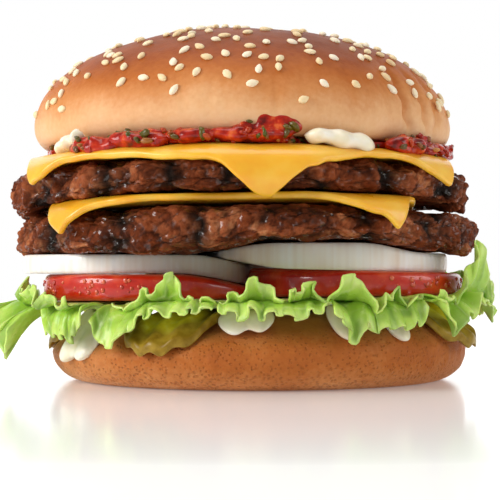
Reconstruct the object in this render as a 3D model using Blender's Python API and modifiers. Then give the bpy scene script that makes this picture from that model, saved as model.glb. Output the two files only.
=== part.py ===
"""Double cheeseburger in a sesame bun: two grilled patties, two cheese slices, red relish, mayonnaise,
onion, tomato, frilled lettuce and crinkle-cut pickle, stacked on the bun's heel.

The origin is the middle of the heel's flat foot. +Z is up and -Y is the front.
"""

import math
import random

import bmesh
import bpy
from mathutils import Matrix, Vector, noise

MM = 0.001
GAP = 0.3 * MM
SLAB_EDGE_SHARE = 0.65
SLAB_FULLNESS = 0.6

# Bun
CROWN_CENTRE = Vector((-4.6, 0.0)) * MM
CROWN_RADIUS = 58.5 * MM
CROWN_UNDERSIDE = 64.2 * MM
CROWN_WIDEST = 70.0 * MM
CROWN_TOP = 98.4 * MM
CROWN_MOUTH = 0.925
CROWN_FACET = 0.965
HEEL_RADIUS = 58.3 * MM
HEEL_FOOT_RADIUS = 49.0 * MM
HEEL_WIDEST = 8.5 * MM
HEEL_HEIGHT = 16.8 * MM
HEEL_FLAT_RADIUS = 43.0 * MM
HEEL_SLOPE = 0.045
SHOULDER_FALL = 0.8

# Sesame seeds
SEED_SIZE = Vector((3.4, 2.2, 1.5)) * MM
SEED_COUNT = 60
SEED_SPACING = 3.0 * MM
SEED_STEEPEST = math.radians(85.0)
SEED_LIFT = 0.25 * MM

# Patties
PATTY_SHOULDER = 8.0 * MM
PATTY_FOOT = 4.5 * MM
PATTY_LUMP = 9.0 * MM
CHEESE_THICKNESS = 1.9 * MM
CHEESE_SIDE = 86.0 * MM
RELISH_CORNER = 1.5 * MM
RELISH_SWELL = 2.2 * MM

# Vegetables
TOMATO_CORNER = 2.0 * MM
ONION_CORNER = 0.9 * MM
LEAF_THICKNESS = 0.7 * MM
LEAF_ROOT = 10.0 * MM
LEAF_HELD = 0.25
LEAF_SLOPE = 0.02
PICKLE_RADIUS = 13.0 * MM
PICKLE_THICKNESS = 2.7 * MM
PICKLE_CORNER = 0.6 * MM
CRINKLE_PITCH = 6.2 * MM
CRINKLE_DEPTH = 0.65 * MM

# Faces: steps round a piece and rings over it, cells along a cheese slice, degrees to a cell of a leaf
CROWN_STEPS = 40
HEEL_STEPS = 28
PATTY_FACES = (46, 10)
RELISH_FACES = (42, 6)
SLICE_FACES = (26, 6)
PICKLE_FACES = (22, 6)
DROP_FACES = (9, 5)
CHEESE_CELLS = 11
LEAF_CELL = 4.2
LEAF_CELLS_A_WAVE = 2.6
LEAF_ROWS = 4

COLOURS = {
    "bun": ((0.62, 0.30, 0.12), 0.5),
    "beef": ((0.20, 0.085, 0.05), 0.4),
    "cheese": ((0.95, 0.56, 0.08), 0.35),
    "relish": ((0.50, 0.03, 0.015), 0.25),
    "mayonnaise": ((0.88, 0.83, 0.70), 0.3),
    "onion": ((0.86, 0.84, 0.78), 0.35),
    "tomato": ((0.66, 0.05, 0.02), 0.25),
    "lettuce": ((0.32, 0.52, 0.08), 0.4),
    "pickle": ((0.32, 0.30, 0.04), 0.35),
}


def clear_scene():
    for thing in list(bpy.data.objects):
        bpy.data.objects.remove(thing)


def new_collection(name, hidden=False):
    made = bpy.data.collections.new(name)
    made.hide_render = hidden
    bpy.context.scene.collection.children.link(made)
    return made


def material(name):
    colour, roughness = COLOURS[name]
    made = bpy.data.materials.get(name) or bpy.data.materials.new(name)
    made.use_nodes = True
    shader = made.node_tree.nodes["Principled BSDF"]
    shader.inputs["Base Color"].default_value = (*colour, 1.0)
    shader.inputs["Roughness"].default_value = roughness
    return made


def object_of(shape, name, finish, collection):
    """Ends a bmesh and makes it a named, smooth-shaded object."""
    mesh = bpy.data.meshes.new(name)
    shape.to_mesh(mesh)
    shape.free()
    mesh.shade_smooth()
    mesh.materials.append(material(finish))
    thing = bpy.data.objects.new(name, mesh)
    collection.objects.link(thing)
    return thing


def baked(thing):
    """Replaces an object's mesh by the one that its modifiers make."""
    graph = bpy.context.evaluated_depsgraph_get()
    mesh = bpy.data.meshes.new_from_object(thing.evaluated_get(graph))
    thing.modifiers.clear()
    thing.data = mesh
    return thing


def smooth(low, high, value):
    share = min(1.0, max(0.0, (value - low) / (high - low)))
    return share * share * (3.0 - 2.0 * share)


def bump(value, middle, width):
    return math.exp(-(((value - middle) / width) ** 2))


def turn_between(first, second):
    """The signed angle from the second direction to the first, in degrees, from -180 to 180."""
    return (first - second + 180.0) % 360.0 - 180.0


def ripple(angle, seed, size=1.0):
    """Smooth noise from about -1 to 1 that closes on itself round a circle."""
    return noise.noise(Vector((math.cos(angle) * size, math.sin(angle) * size, seed * 7.3)))


def lumps(point, size, seed):
    return noise.noise(point / size + Vector((seed * 3.1, seed * 1.7, seed * 5.9)))


def at_angle(centre, angle, radius, height):
    return Vector((centre[0] + radius * math.cos(angle), centre[1] + radius * math.sin(angle), height))


def round_slab(name, finish, collection, faces, place):
    """A closed slab whose points come from place(angle, tilt), tilt being 90 at its top and -90 underneath."""
    shape = bmesh.new()
    bmesh.ops.create_uvsphere(shape, u_segments=faces[0], v_segments=faces[1], radius=1.0)
    for vert in shape.verts:
        angle = math.atan2(vert.co.y, vert.co.x)
        tilt = math.asin(min(1.0, max(-1.0, vert.co.z)))
        vert.co = place(angle, tilt)
    bmesh.ops.recalc_face_normals(shape, faces=shape.faces)
    return object_of(shape, name, finish, collection)


def slab_edge(tilt, rim, corner):
    """A slab's radius, its height share from -1 to 1 and its outward direction at a tilt: flat, then a round edge."""
    share = abs(tilt) / (math.pi / 2.0)
    around = min(1.0, share / SLAB_EDGE_SHARE) * math.pi / 2.0
    inward = max(0.0, share - SLAB_EDGE_SHARE) / (1.0 - SLAB_EDGE_SHARE)
    radius = (rim - corner * (1.0 - math.cos(around))) * (1.0 - inward)
    return radius, math.copysign(math.sin(around) ** SLAB_FULLNESS, tilt), math.copysign(around, tilt)


def sheet(name, finish, collection, columns, rows, thickness, place):
    """A thin closed sheet whose middle comes from place(across, along), both from 0 to 1."""
    shape = bmesh.new()
    bmesh.ops.create_grid(shape, x_segments=columns, y_segments=rows, size=0.5)
    for vert in shape.verts:
        vert.co = place(vert.co.x + 0.5, vert.co.y + 0.5)
    bmesh.ops.triangulate(shape, faces=shape.faces)
    thing = object_of(shape, name, finish, collection)
    solid = thing.modifiers.new("thickness", "SOLIDIFY")
    solid.thickness = thickness
    solid.offset = 0.0
    solid.use_even_offset = False
    return thing


# Bun


def crown_rim(angle):
    """The crown's outline: nearly round, a little pulled in where the loaf tore from its neighbour."""
    torn = 0.02 * bump(turn_between(math.degrees(angle), -41.0), 0.0, 9.0)
    return CROWN_RADIUS * (1.0 + 0.012 * ripple(angle, 2) - torn)


def crown_point(angle, share):
    """A point on the domed top, share being 0 at its middle and 1 at its widest line."""
    height = (CROWN_TOP - CROWN_WIDEST) * math.sqrt(max(0.0, 1.0 - share * share))
    point = at_angle(CROWN_CENTRE, angle, crown_rim(angle) * share, CROWN_WIDEST + height)
    point.z += 0.7 * MM * lumps(point, 22.0 * MM, 4)
    return point


def crown_profile():
    """Half of the crown's outline, from the top of its axis, round its edge, to the axis underneath."""
    dome = [math.radians(step * 90.0 / 8) for step in range(9)]
    edge = [math.radians(step * 90.0 / 3) for step in range(1, 4)]
    points = [(math.sin(turn), CROWN_WIDEST + (CROWN_TOP - CROWN_WIDEST) * math.cos(turn)) for turn in dome]
    for turn in edge:
        out = CROWN_MOUTH + (1.0 - CROWN_MOUTH) * math.cos(turn)
        points.append((out, CROWN_WIDEST - (CROWN_WIDEST - CROWN_UNDERSIDE) * math.sin(turn)))
    points.append((0.0, CROWN_UNDERSIDE))
    return [Vector((out * CROWN_RADIUS, 0.0, height)) for out, height in points]


def turned(name, finish, collection, profile, steps):
    """Turns a profile about the Z axis with a Screw modifier."""
    shape = bmesh.new()
    verts = [shape.verts.new(point) for point in profile]
    for first, second in zip(verts, verts[1:]):
        shape.edges.new((first, second))
    thing = object_of(shape, name, finish, collection)
    screw = thing.modifiers.new("turn", "SCREW")
    screw.steps = steps
    screw.render_steps = steps
    screw.use_merge_vertices = True
    screw.merge_threshold = 0.05 * MM
    screw.use_smooth_shade = True
    return baked(thing)


def crown(collection):
    """The domed top half of the bun, turned and then made as uneven as baked bread."""
    thing = turned("bun_crown", "bun", collection, crown_profile(), CROWN_STEPS)
    for vert in thing.data.vertices:
        angle = math.atan2(vert.co.y, vert.co.x)
        share = math.hypot(vert.co.x, vert.co.y) / CROWN_RADIUS
        if vert.co.z >= CROWN_WIDEST - 0.01 * MM:
            vert.co = crown_point(angle, share)
        else:
            vert.co = at_angle(CROWN_CENTRE, angle, crown_rim(angle) * share, vert.co.z)
    return thing


def seed_places():
    """Where the seeds lie: angle, share of the way out, turn. They thin out on the steep side over the rim."""
    draw = random.Random(11)
    taken = []
    places = []
    while len(places) < SEED_COUNT:
        angle = draw.uniform(-math.pi, math.pi)
        tilt = draw.random() ** 0.55 * SEED_STEEPEST
        share = math.sin(tilt)
        keep = 1.0 - 0.6 * smooth(0.8, 1.0, tilt / SEED_STEEPEST)
        chance = draw.random()
        turn = draw.uniform(0.0, math.pi * 2.0)
        spot = crown_point(angle, share)
        if chance > keep or any((spot - other).length < SEED_SPACING for other in taken):
            continue
        taken.append(spot)
        places.append((angle, share, turn))
    return places


def crown_frame(angle, share, turn):
    """The matrix that lays a seed on the dome, its long axis turned in the surface."""
    here = crown_point(angle, share)
    step = 0.01
    outward = (crown_point(angle, share + step) - here).normalized()
    around = Vector((-math.sin(angle), math.cos(angle), 0.0))
    normal = around.cross(outward) * -1.0
    normal.normalize()
    along = outward * math.cos(turn) + around * math.sin(turn)
    across = normal.cross(along).normalized()
    along = across.cross(normal)
    matrix = Matrix((along, across, normal)).transposed().to_4x4()
    matrix.translation = here + normal * SEED_LIFT
    return matrix


def seed_mesh():
    """One sesame seed, a flat drop pointed at one end."""
    shape = bmesh.new()
    bmesh.ops.create_uvsphere(shape, u_segments=6, v_segments=3, radius=1.0)
    for vert in shape.verts:
        slim = 1.0 - 0.32 * max(0.0, vert.co.x)
        vert.co = Vector((vert.co.x * SEED_SIZE.x, vert.co.y * SEED_SIZE.y * slim, vert.co.z * SEED_SIZE.z)) / 2.0
    mesh = bpy.data.meshes.new("seed")
    shape.to_mesh(mesh)
    shape.free()
    return mesh


def sesame_crown(collection):
    """The crown with its seeds fused on by one Boolean union."""
    thing = crown(collection)
    seeds = new_collection("sesame seeds", hidden=True)
    mesh = seed_mesh()
    for number, place in enumerate(seed_places()):
        grain = bpy.data.objects.new(f"seed_{number}", mesh)
        grain.matrix_world = crown_frame(*place)
        seeds.objects.link(grain)
    fuse = thing.modifiers.new("seeds", "BOOLEAN")
    fuse.operation = "UNION"
    fuse.operand_type = "COLLECTION"
    fuse.collection = seeds
    fuse.solver = "MANIFOLD"
    baked(thing)
    for grain in list(seeds.objects):
        bpy.data.objects.remove(grain)
    bpy.data.collections.remove(seeds)
    thing.data.shade_smooth()
    return thing


def heel_swell(angle):
    return 1.0 + 0.012 * ripple(angle, 5)


def heel_lean(x, height):
    """How far the heel's left-to-right slope has moved a point, from nothing at the foot to all of it on top."""
    return HEEL_SLOPE * x * smooth(HEEL_WIDEST * 0.4, HEEL_HEIGHT, height)


def heel_top(x, y):
    """The height that something lying on the heel rests at: the cut face, then the shoulder, then a straight fall."""
    radius = math.hypot(x, y) / heel_swell(math.atan2(y, x))
    width = HEEL_RADIUS - HEEL_FLAT_RADIUS
    steepest = 0.83
    share = max(0.0, radius - HEEL_FLAT_RADIUS) / width
    rounded = min(share, steepest)
    height = HEEL_WIDEST + (HEEL_HEIGHT - HEEL_WIDEST) * math.sqrt(1.0 - rounded * rounded)
    height += heel_lean(x, height)
    return height - SHOULDER_FALL * width * max(0.0, share - steepest)


def heel(collection):
    """The bun's heel: a flat foot, a rounded side and a soft shoulder."""
    depth = HEEL_HEIGHT - HEEL_WIDEST
    shoulder = [math.radians(step * 90.0 / 4) for step in range(5)]
    foot = [math.radians(step * 90.0 / 4) for step in range(1, 5)]
    profile = [Vector((0.0, 0.0, HEEL_HEIGHT))]
    for turn in shoulder:
        out = HEEL_FLAT_RADIUS + (HEEL_RADIUS - HEEL_FLAT_RADIUS) * math.sin(turn)
        profile.append(Vector((out, 0.0, HEEL_WIDEST + depth * math.cos(turn))))
    for turn in foot:
        out = HEEL_FOOT_RADIUS + (HEEL_RADIUS - HEEL_FOOT_RADIUS) * math.cos(turn)
        profile.append(Vector((out, 0.0, HEEL_WIDEST * (1.0 - math.sin(turn)))))
    profile.append(Vector((0.0, 0.0, 0.0)))
    thing = turned("bun_heel", "bun", collection, profile, HEEL_STEPS)
    for vert in thing.data.vertices:
        angle = math.atan2(vert.co.y, vert.co.x)
        swell = heel_swell(angle)
        vert.co.x *= swell
        vert.co.y *= swell
        vert.co.z += heel_lean(vert.co.x, vert.co.z)
    return thing


# Patties and cheese


class Patty:
    """A grilled patty: an uneven disc whose faces arch over what lies under them."""

    def __init__(self, name, centre, radii, seed, faces):
        self.name = name
        self.centre = Vector(centre) * MM
        self.radii = Vector(radii) * MM
        self.seed = seed
        self.bottom_at, self.top_at = faces

    def rim(self, angle):
        """The outline's distance from the centre: an ellipse with wide lobes."""
        wide, deep = self.radii
        plain = wide * deep / math.hypot(deep * math.cos(angle), wide * math.sin(angle))
        return plain + 1.6 * MM * ripple(angle, self.seed, 1.6) + 0.9 * MM * ripple(angle, self.seed + 1, 4.0)

    def point(self, angle, tilt, proud=0.0):
        """A point on the plain outside, proud of it by a length."""
        radius, up, facing = slab_edge(tilt, self.rim(angle), PATTY_SHOULDER if tilt > 0.0 else PATTY_FOOT)
        spot = at_angle(self.centre, angle, radius + proud * math.cos(facing), 0.0)
        low, high = self.bottom_at(spot.x), self.top_at(spot.x)
        spot.z = (low + high) / 2.0 + up * (high - low) / 2.0 + proud * math.sin(facing)
        return spot

    def lumped(self, angle, tilt):
        """A point on the outside with the meat's lumps, which are deepest on its side."""
        spot = self.point(angle, tilt)
        fade = 4.0 if tilt > 0.0 else 1.5
        depth = 2.4 * MM * max(0.0, math.cos(tilt)) ** fade
        return self.point(angle, tilt, depth * (lumps(spot, PATTY_LUMP, self.seed) - 0.3))

    def build(self, collection):
        return round_slab(self.name, "beef", collection, PATTY_FACES, self.lumped)

    def draped(self, angle, length, proud):
        """Where a soft sheet's point lies when the sheet is laid over the patty, length from its middle."""
        before = self.point(angle, math.pi / 2.0, proud)
        run = 0.0
        steps = 90
        for step in range(1, steps + 1):
            tilt = math.radians(90.0 - step * 125.0 / steps)
            here = self.point(angle, tilt, proud)
            stride = (here - before).length
            if run + stride >= length:
                return before.lerp(here, (length - run) / stride)
            run += stride
            before = here
        return before


def arch(height, fall, middle=-3.0, tip=0.0):
    """A face's height across the burger: highest over the middle, falling to both sides, drooping at the tips."""

    def at(x):
        away = x / MM - middle
        droop = tip * max(0.0, away - 48.0, -away - 58.0) ** 2
        return (height - fall * away * away - droop) * MM

    return at


def lower_patty_bottom(x):
    """The lower patty's underside, which rides up over the right-hand onion slice."""
    return (34.7 + 3.2 * smooth(-24.0, 4.0, x / MM) - 2.5 * smooth(26.0, 42.0, x / MM)) * MM


LOWER_PATTY = Patty(
    "patty_lower", (-3.8, 0.0), (65.0, 62.0), 3, (lower_patty_bottom, arch(47.1, 0.0006, 3.0))
)
UPPER_PATTY = Patty(
    "patty_upper", (-6.1, 0.0), (64.8, 61.5), 9, (arch(50.3, 0.00065, 1.0, 0.015), arch(59.1, 0.0004))
)


def cheese_outline(corners, bows):
    """A slice's place(across, along) in the flat: four corners, each side bowed out by a length."""

    def place(across, along):
        low = corners[0].lerp(corners[1], across)
        high = corners[3].lerp(corners[2], across)
        left = corners[0].lerp(corners[3], along)
        right = corners[1].lerp(corners[2], along)
        spot = low.lerp(high, along)
        middle = sum(corners, Vector((0.0, 0.0))) / 4.0
        for side, share, bow, other in (
            (low, across, bows[0], 1.0 - along),
            (right, along, bows[1], across),
            (high, across, bows[2], along),
            (left, along, bows[3], 1.0 - across),
        ):
            outward = (side - middle).normalized()
            spot = spot + outward * bow * math.sin(math.pi * share) * other
        return spot

    return place


def slice_corners(middle, side, turn):
    """A square's corners in the flat, counter-clockwise from the one nearest the front left."""
    return [
        Vector(middle) + Matrix.Rotation(math.radians(turn), 2) @ Vector((x * side / 2.0, y * side / 2.0))
        for x, y in ((-1, -1), (1, -1), (1, 1), (-1, 1))
    ]


def crowded_out(share):
    """Moves a share of a side outwards, so that a sheet has its narrow cells where it folds over the rim."""
    away = 2.0 * share - 1.0
    return 0.5 + 0.5 * math.copysign(abs(away) ** 0.65, away)


def cheese(name, patty, flat, spring, collection):
    """A slice of cheese laid over a patty, its free corners folded down over the side."""
    lying = GAP + CHEESE_THICKNESS / 2.0 + 0.1 * MM
    hanging = lying + spring * MM

    def place(across, along):
        across, along = (crowded_out(share) for share in (across, along))
        spot = flat(across, along)
        angle = math.atan2(spot.y, spot.x)
        hang = smooth(54.0 * MM, 62.0 * MM, spot.length)
        flow = 0.9 * MM * ripple(angle, 13, 5.0) * hang
        return patty.draped(angle, spot.length + flow, lying + (hanging - lying) * hang)

    return sheet(name, "cheese", collection, CHEESE_CELLS, CHEESE_CELLS, CHEESE_THICKNESS, place)


def upper_cheese(collection):
    """The softened upper slice, with corners hanging at the left, the front and the right."""
    corners = [
        Vector((math.cos(math.radians(angle)), math.sin(math.radians(angle)))) * reach * MM
        for angle, reach in ((216.0, 69.5), (278.0, 75.0), (327.0, 70.5), (97.0, 66.0))
    ]
    flat = cheese_outline(corners, (1.2 * MM, -4.0 * MM, 12.0 * MM, 14.0 * MM))
    return cheese("cheese_upper", UPPER_PATTY, flat, 1.1, collection)


def lower_cheese(collection):
    """The square lower slice, one side along the front, with two corners folded down."""
    middle = (-1.5 * MM, -7.5 * MM)
    flat = cheese_outline(slice_corners(middle, CHEESE_SIDE + 7.0 * MM, -4.3), (1.5 * MM,) * 4)
    return cheese("cheese_lower", LOWER_PATTY, flat, 1.05, collection)


# Sauces


def upper_dollops():
    """The mayonnaise that squeezes out under the crown: angle, radius, height, half sizes round, out and up."""
    return {
        "mayonnaise_upper_right": (-65.0, 58.0, 63.8, (9.8, 3.6, 2.0)),
        "mayonnaise_upper_left": (221.5, 58.5, 64.0, (5.4, 3.6, 2.6)),
    }


def relish_rim(angle):
    """The relish's outline, which stops short where mayonnaise takes its place."""
    room = 0.0
    for around, _, _, half in upper_dollops().values():
        room = max(room, bump(turn_between(math.degrees(angle), around), 0.0, half[0] * 1.25))
    ends = (3.0 - 1.5 * math.cos(angle)) * math.cos(angle) ** 4
    spread = 59.5 * MM + 2.2 * MM * ripple(angle, 21, 3.0) + 1.2 * MM * ripple(angle, 22, 7.0)
    return spread - ends * MM - 12.0 * MM * room


def relish(collection):
    """The chunky red relish between the upper cheese and the crown."""
    under = UPPER_PATTY.top_at

    def place(angle, tilt):
        radius, up, _ = slab_edge(tilt, relish_rim(angle), RELISH_CORNER)
        spot = at_angle(CROWN_CENTRE, angle, radius, 0.0)
        low = under(spot.x) + CHEESE_THICKNESS + 4.0 * GAP
        high = CROWN_UNDERSIDE - GAP
        spot.z = (low + high) / 2.0 + up * (high - low) / 2.0
        spot.z += RELISH_SWELL * smooth(0.9, 1.0, radius / relish_rim(angle)) * (1.0 + up) / 2.0
        spot.z = min(spot.z, crown_edge(angle, radius) - 2.0 * GAP)
        return spot

    return round_slab("relish", "relish", collection, RELISH_FACES, place)


def crown_edge(angle, radius):
    """The height of the crown's lower side at a distance from its middle."""
    share = (radius / crown_rim(angle) * CROWN_FACET - CROWN_MOUTH) / (1.0 - CROWN_MOUTH)
    rounded = math.sqrt(1.0 - min(1.0, max(0.0, share)) ** 2)
    return CROWN_WIDEST - (CROWN_WIDEST - CROWN_UNDERSIDE) * rounded


def drop_shape(name, collection, place):
    """A closed drop of mayonnaise whose points come from place(out, side, up), each from -1 to 1."""
    shape = bmesh.new()
    bmesh.ops.create_uvsphere(shape, u_segments=DROP_FACES[0], v_segments=DROP_FACES[1], radius=1.0)
    for vert in shape.verts:
        vert.co = place(*vert.co)
    return object_of(shape, name, "mayonnaise", collection)


def upper_dollop(name, around, radius, height, half, collection):
    """A drop that squeezes out under the crown."""
    middle = math.radians(around)

    def place(out, side, up):
        angle = middle + side * half[0] / radius
        away = (radius + out * half[1] * (1.0 + 0.15 * math.sin(4.0 * side + around))) * MM
        spot = at_angle(CROWN_CENTRE, angle, away, (height + up * half[2]) * MM)
        spot.z = min(spot.z, crown_edge(angle, away) - 2.0 * GAP)
        return spot

    return drop_shape(name, collection, place)


def lower_dollop(name, around, radius, half, notch, collection):
    """A drop that hangs over the heel's shoulder, in two lobes where it is notched."""
    middle = math.radians(around)

    def place(out, side, up):
        angle = middle + side * half[0] / radius
        lobes = 1.0 - notch * bump(side, 0.1, 0.3)
        away = (radius + half[1] * (out * lobes - 1.0)) * MM
        spot = at_angle((0.0, 0.0), angle, away, 0.0)
        spot.z = heel_top(spot.x, spot.y) + 2.0 * GAP + (1.0 + up * lobes) * half[2] * MM
        spot.z = min(spot.z, slot_height(0, spot) - LEAF_THICKNESS - 0.5 * max(0.0, away - 52.0 * MM))
        return spot

    return drop_shape(name, collection, place)


def lower_dollops(collection):
    """The mayonnaise over the heel: direction, outer radius, half sizes round, out and up, and depth of notch."""
    table = {
        "mayonnaise_left": (213.0, 61.0, (9.6, 6.0, 3.9), 0.3),
        "mayonnaise_front": (267.0, 58.0, (8.0, 6.5, 2.5), 0.3),
        "mayonnaise_front_right": (293.5, 59.0, (4.4, 6.0, 2.8), 0.0),
        "mayonnaise_right": (309.5, 59.0, (3.8, 6.0, 2.7), 0.0),
        "mayonnaise_back_right": (40.0, 59.0, (9.0, 6.0, 2.8), 0.3),
        "mayonnaise_back": (100.0, 59.0, (5.2, 6.0, 3.0), 0.0),
        "mayonnaise_back_left": (138.0, 59.5, (7.6, 6.0, 3.2), 0.25),
    }
    for name, (around, radius, half, notch) in table.items():
        lower_dollop(name, around, radius, half, notch, collection)


# Vegetables


def vegetable_slice(name, finish, centre, radius, faces, corner, seed, collection):
    """A round slice between two faces whose heights are given across the burger."""
    bottom_at, top_at = faces

    def place(angle, tilt):
        rim = radius * MM * (1.0 + 0.02 * ripple(angle, seed))
        away, up, _ = slab_edge(tilt, rim, corner)
        spot = at_angle(Vector(centre) * MM, angle, away, 0.0)
        low, high = bottom_at(spot.x), top_at(spot.x)
        spot.z = (low + high) / 2.0 + up * (high - low) / 2.0
        return spot

    return round_slab(name, finish, collection, SLICE_FACES, place)


def sloped(height, slope=0.0, origin=0.0, steps=()):
    """A face's height across the burger: given at one place, sloping from there, and raised by steps on the way."""

    def at(x):
        stepped = sum(rise * smooth(start, end, x / MM) for rise, start, end in steps)
        return (height + slope * (x / MM - origin) + stepped) * MM

    return at


def slices(collection):
    """Three tomato slices and, on them, three onion slices, each right-hand one lying on the left-hand one's edge."""
    tomatoes = {
        "tomato_left": ((-27.5, -13.0), 32.0, 31, sloped(23.3, 0.004, -60.0), sloped(29.4, steps=((-4.4, -22.0, 6.0),))),
        "tomato_right": ((26.5, -15.0), 28.5, 32, sloped(24.2, -0.03, 55.0), sloped(29.7, -0.024, 55.0)),
        "tomato_back": ((2.0, 36.0), 23.0, 35, sloped(23.6, 0.02, 0.0), sloped(29.0)),
    }
    onions = {
        "onion_left": (
            (-34.2, -8.0), 31.6, 33,
            sloped(29.9, steps=((-2.5, -18.0, 4.0),)), sloped(34.3, -0.004, -66.0, ((-3.4, -26.0, 0.0),)),
        ),
        "onion_right": (
            (18.5, -11.0), 33.3, 34,
            sloped(33.8, -0.018, 12.0, ((-2.7, -16.0, 12.0),)),
            sloped(34.8, steps=((2.4, -18.0, 4.0), (-2.5, 26.0, 44.0))),
        ),
        "onion_back": ((-14.0, 40.0), 19.5, 36, sloped(30.2, 0.05, -5.0), sloped(35.6, 0.06, -5.0)),
    }
    for finish, corner, table in (("tomato", TOMATO_CORNER, tomatoes), ("onion", ONION_CORNER, onions)):
        for name, (centre, radius, seed, bottom_at, top_at) in table.items():
            vegetable_slice(name, finish, centre, radius, (bottom_at, top_at), corner, seed, collection)


def pickle(name, around, reach, collection):
    """A crinkle-cut pickle slice, bent over the heel's shoulder: its ridges run outwards, its outer side is thicker."""
    angle = math.radians(around)
    outward = Vector((math.cos(angle), math.sin(angle)))
    sideways = Vector((-outward.y, outward.x))
    rest = 1.5 * GAP + CRINKLE_DEPTH
    shape = bmesh.new()
    bmesh.ops.create_uvsphere(shape, u_segments=PICKLE_FACES[0], v_segments=PICKLE_FACES[1], radius=1.0)
    for vert in shape.verts:
        turn = math.atan2(vert.co.y, vert.co.x)
        tilt = math.asin(min(1.0, max(-1.0, vert.co.z)))
        radius, up, _ = slab_edge(tilt, PICKLE_RADIUS, PICKLE_CORNER)
        away = radius * math.cos(turn)
        side = radius * math.sin(turn)
        spot = outward * (reach * MM + away) + sideways * side
        wave = CRINKLE_DEPTH * math.cos(2.0 * math.pi * side / CRINKLE_PITCH)
        thickness = PICKLE_THICKNESS * (0.8 + 0.2 * away / PICKLE_RADIUS)
        height = heel_top(spot.x, spot.y) + rest + wave + (1.0 + up) * thickness / 2.0
        vert.co = Vector((spot.x, spot.y, height))
    return object_of(shape, name, "pickle", collection)


def pickles(collection):
    pickle("pickle_front", 243.0, 48.5, collection)
    pickle("pickle_right", 334.0, 50.5, collection)
    pickle("pickle_left", 176.0, 47.5, collection)


def slot_height(layer, spot):
    """The height at which a leaf is gripped, on a face that leans to the left: layer 0 lies under layer 1."""
    return (21.9 + 0.8 * layer) * MM + LEAF_SLOPE * spot.x


class Leaf:
    """A frilled lettuce leaf: gripped flat in the stack, then rising or drooping as it spreads outside it.

    angles is where it starts and ends round the burger, out how far its free edge reaches and lift how far
    that edge is above the grip. Each lobe moves the edge by a further lift, at an angle and over a half width.
    """

    def __init__(self, name, layer, angles, out, lift, lobes, frill, waves, bulge=5.0, mouth=53.0):
        self.name = name
        self.layer = layer
        self.angles = angles
        self.out = out
        self.lift = lift
        self.lobes = lobes
        self.frill = frill
        self.waves = waves
        self.bulge = bulge
        self.mouth = mouth * MM
        self.seed = angles[0] / 10.0

    def edge_lift(self, degrees, across):
        """How far the free edge is above the grip; both ends of the leaf come back towards it."""
        ends = smooth(0.0, 0.12, across) * smooth(0.0, 0.12, 1.0 - across)
        lobes = sum(rise * bump(degrees, around, width) for around, rise, width in self.lobes)
        uneven = 0.8 * noise.noise(Vector((degrees / 7.0, self.seed, 3.0)))
        return (self.lift * (0.35 + 0.65 * ends) + lobes + uneven) * MM

    def point(self, across, along):
        """A point on the leaf's middle surface, along being 0 at its root and 1 at its frilled edge."""
        degrees = self.angles[0] + (self.angles[1] - self.angles[0]) * across
        angle = math.radians(degrees)
        lift = self.edge_lift(degrees, across)
        reach = self.out * MM + 1.2 * MM * noise.noise(Vector((degrees / 9.0, self.seed, 8.0)))
        share = max(0.0, (along - LEAF_HELD) / (1.0 - LEAF_HELD))
        if share == 0.0:
            radius, height = LEAF_ROOT + (self.mouth - LEAF_ROOT) * along / LEAF_HELD, 0.0
        else:
            swell = 2.0 * share * (1.0 - share)
            radius = self.mouth + swell * self.bulge * MM + share * share * (reach - self.mouth)
            height = swell * 0.12 * lift + share * share * lift
        swing = self.frill * MM * share**1.5 * min(1.0, 8.0 * across, 8.0 * (1.0 - across))
        phase = 2.0 * math.pi * self.waves * across + 1.5 * noise.noise(Vector((across * 4.0, self.seed, 1.0)))
        lean = math.atan2(lift, reach - self.mouth)
        wave = swing * math.sin(phase)
        radius -= 0.7 * wave * math.sin(lean)
        height += wave * max(0.35, math.cos(lean))
        angle += 0.45 * swing * math.sin(2.0 * phase + 0.6) / reach
        spot = at_angle((0.0, 0.0), angle, radius, 0.0)
        spot.z = slot_height(self.layer, spot) + height
        return spot

    def build(self, collection):
        span = self.angles[1] - self.angles[0]
        columns = max(8, round(span / LEAF_CELL), round(LEAF_CELLS_A_WAVE * self.waves))
        return sheet(self.name, "lettuce", collection, columns, LEAF_ROWS, LEAF_THICKNESS, self.point)


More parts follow.
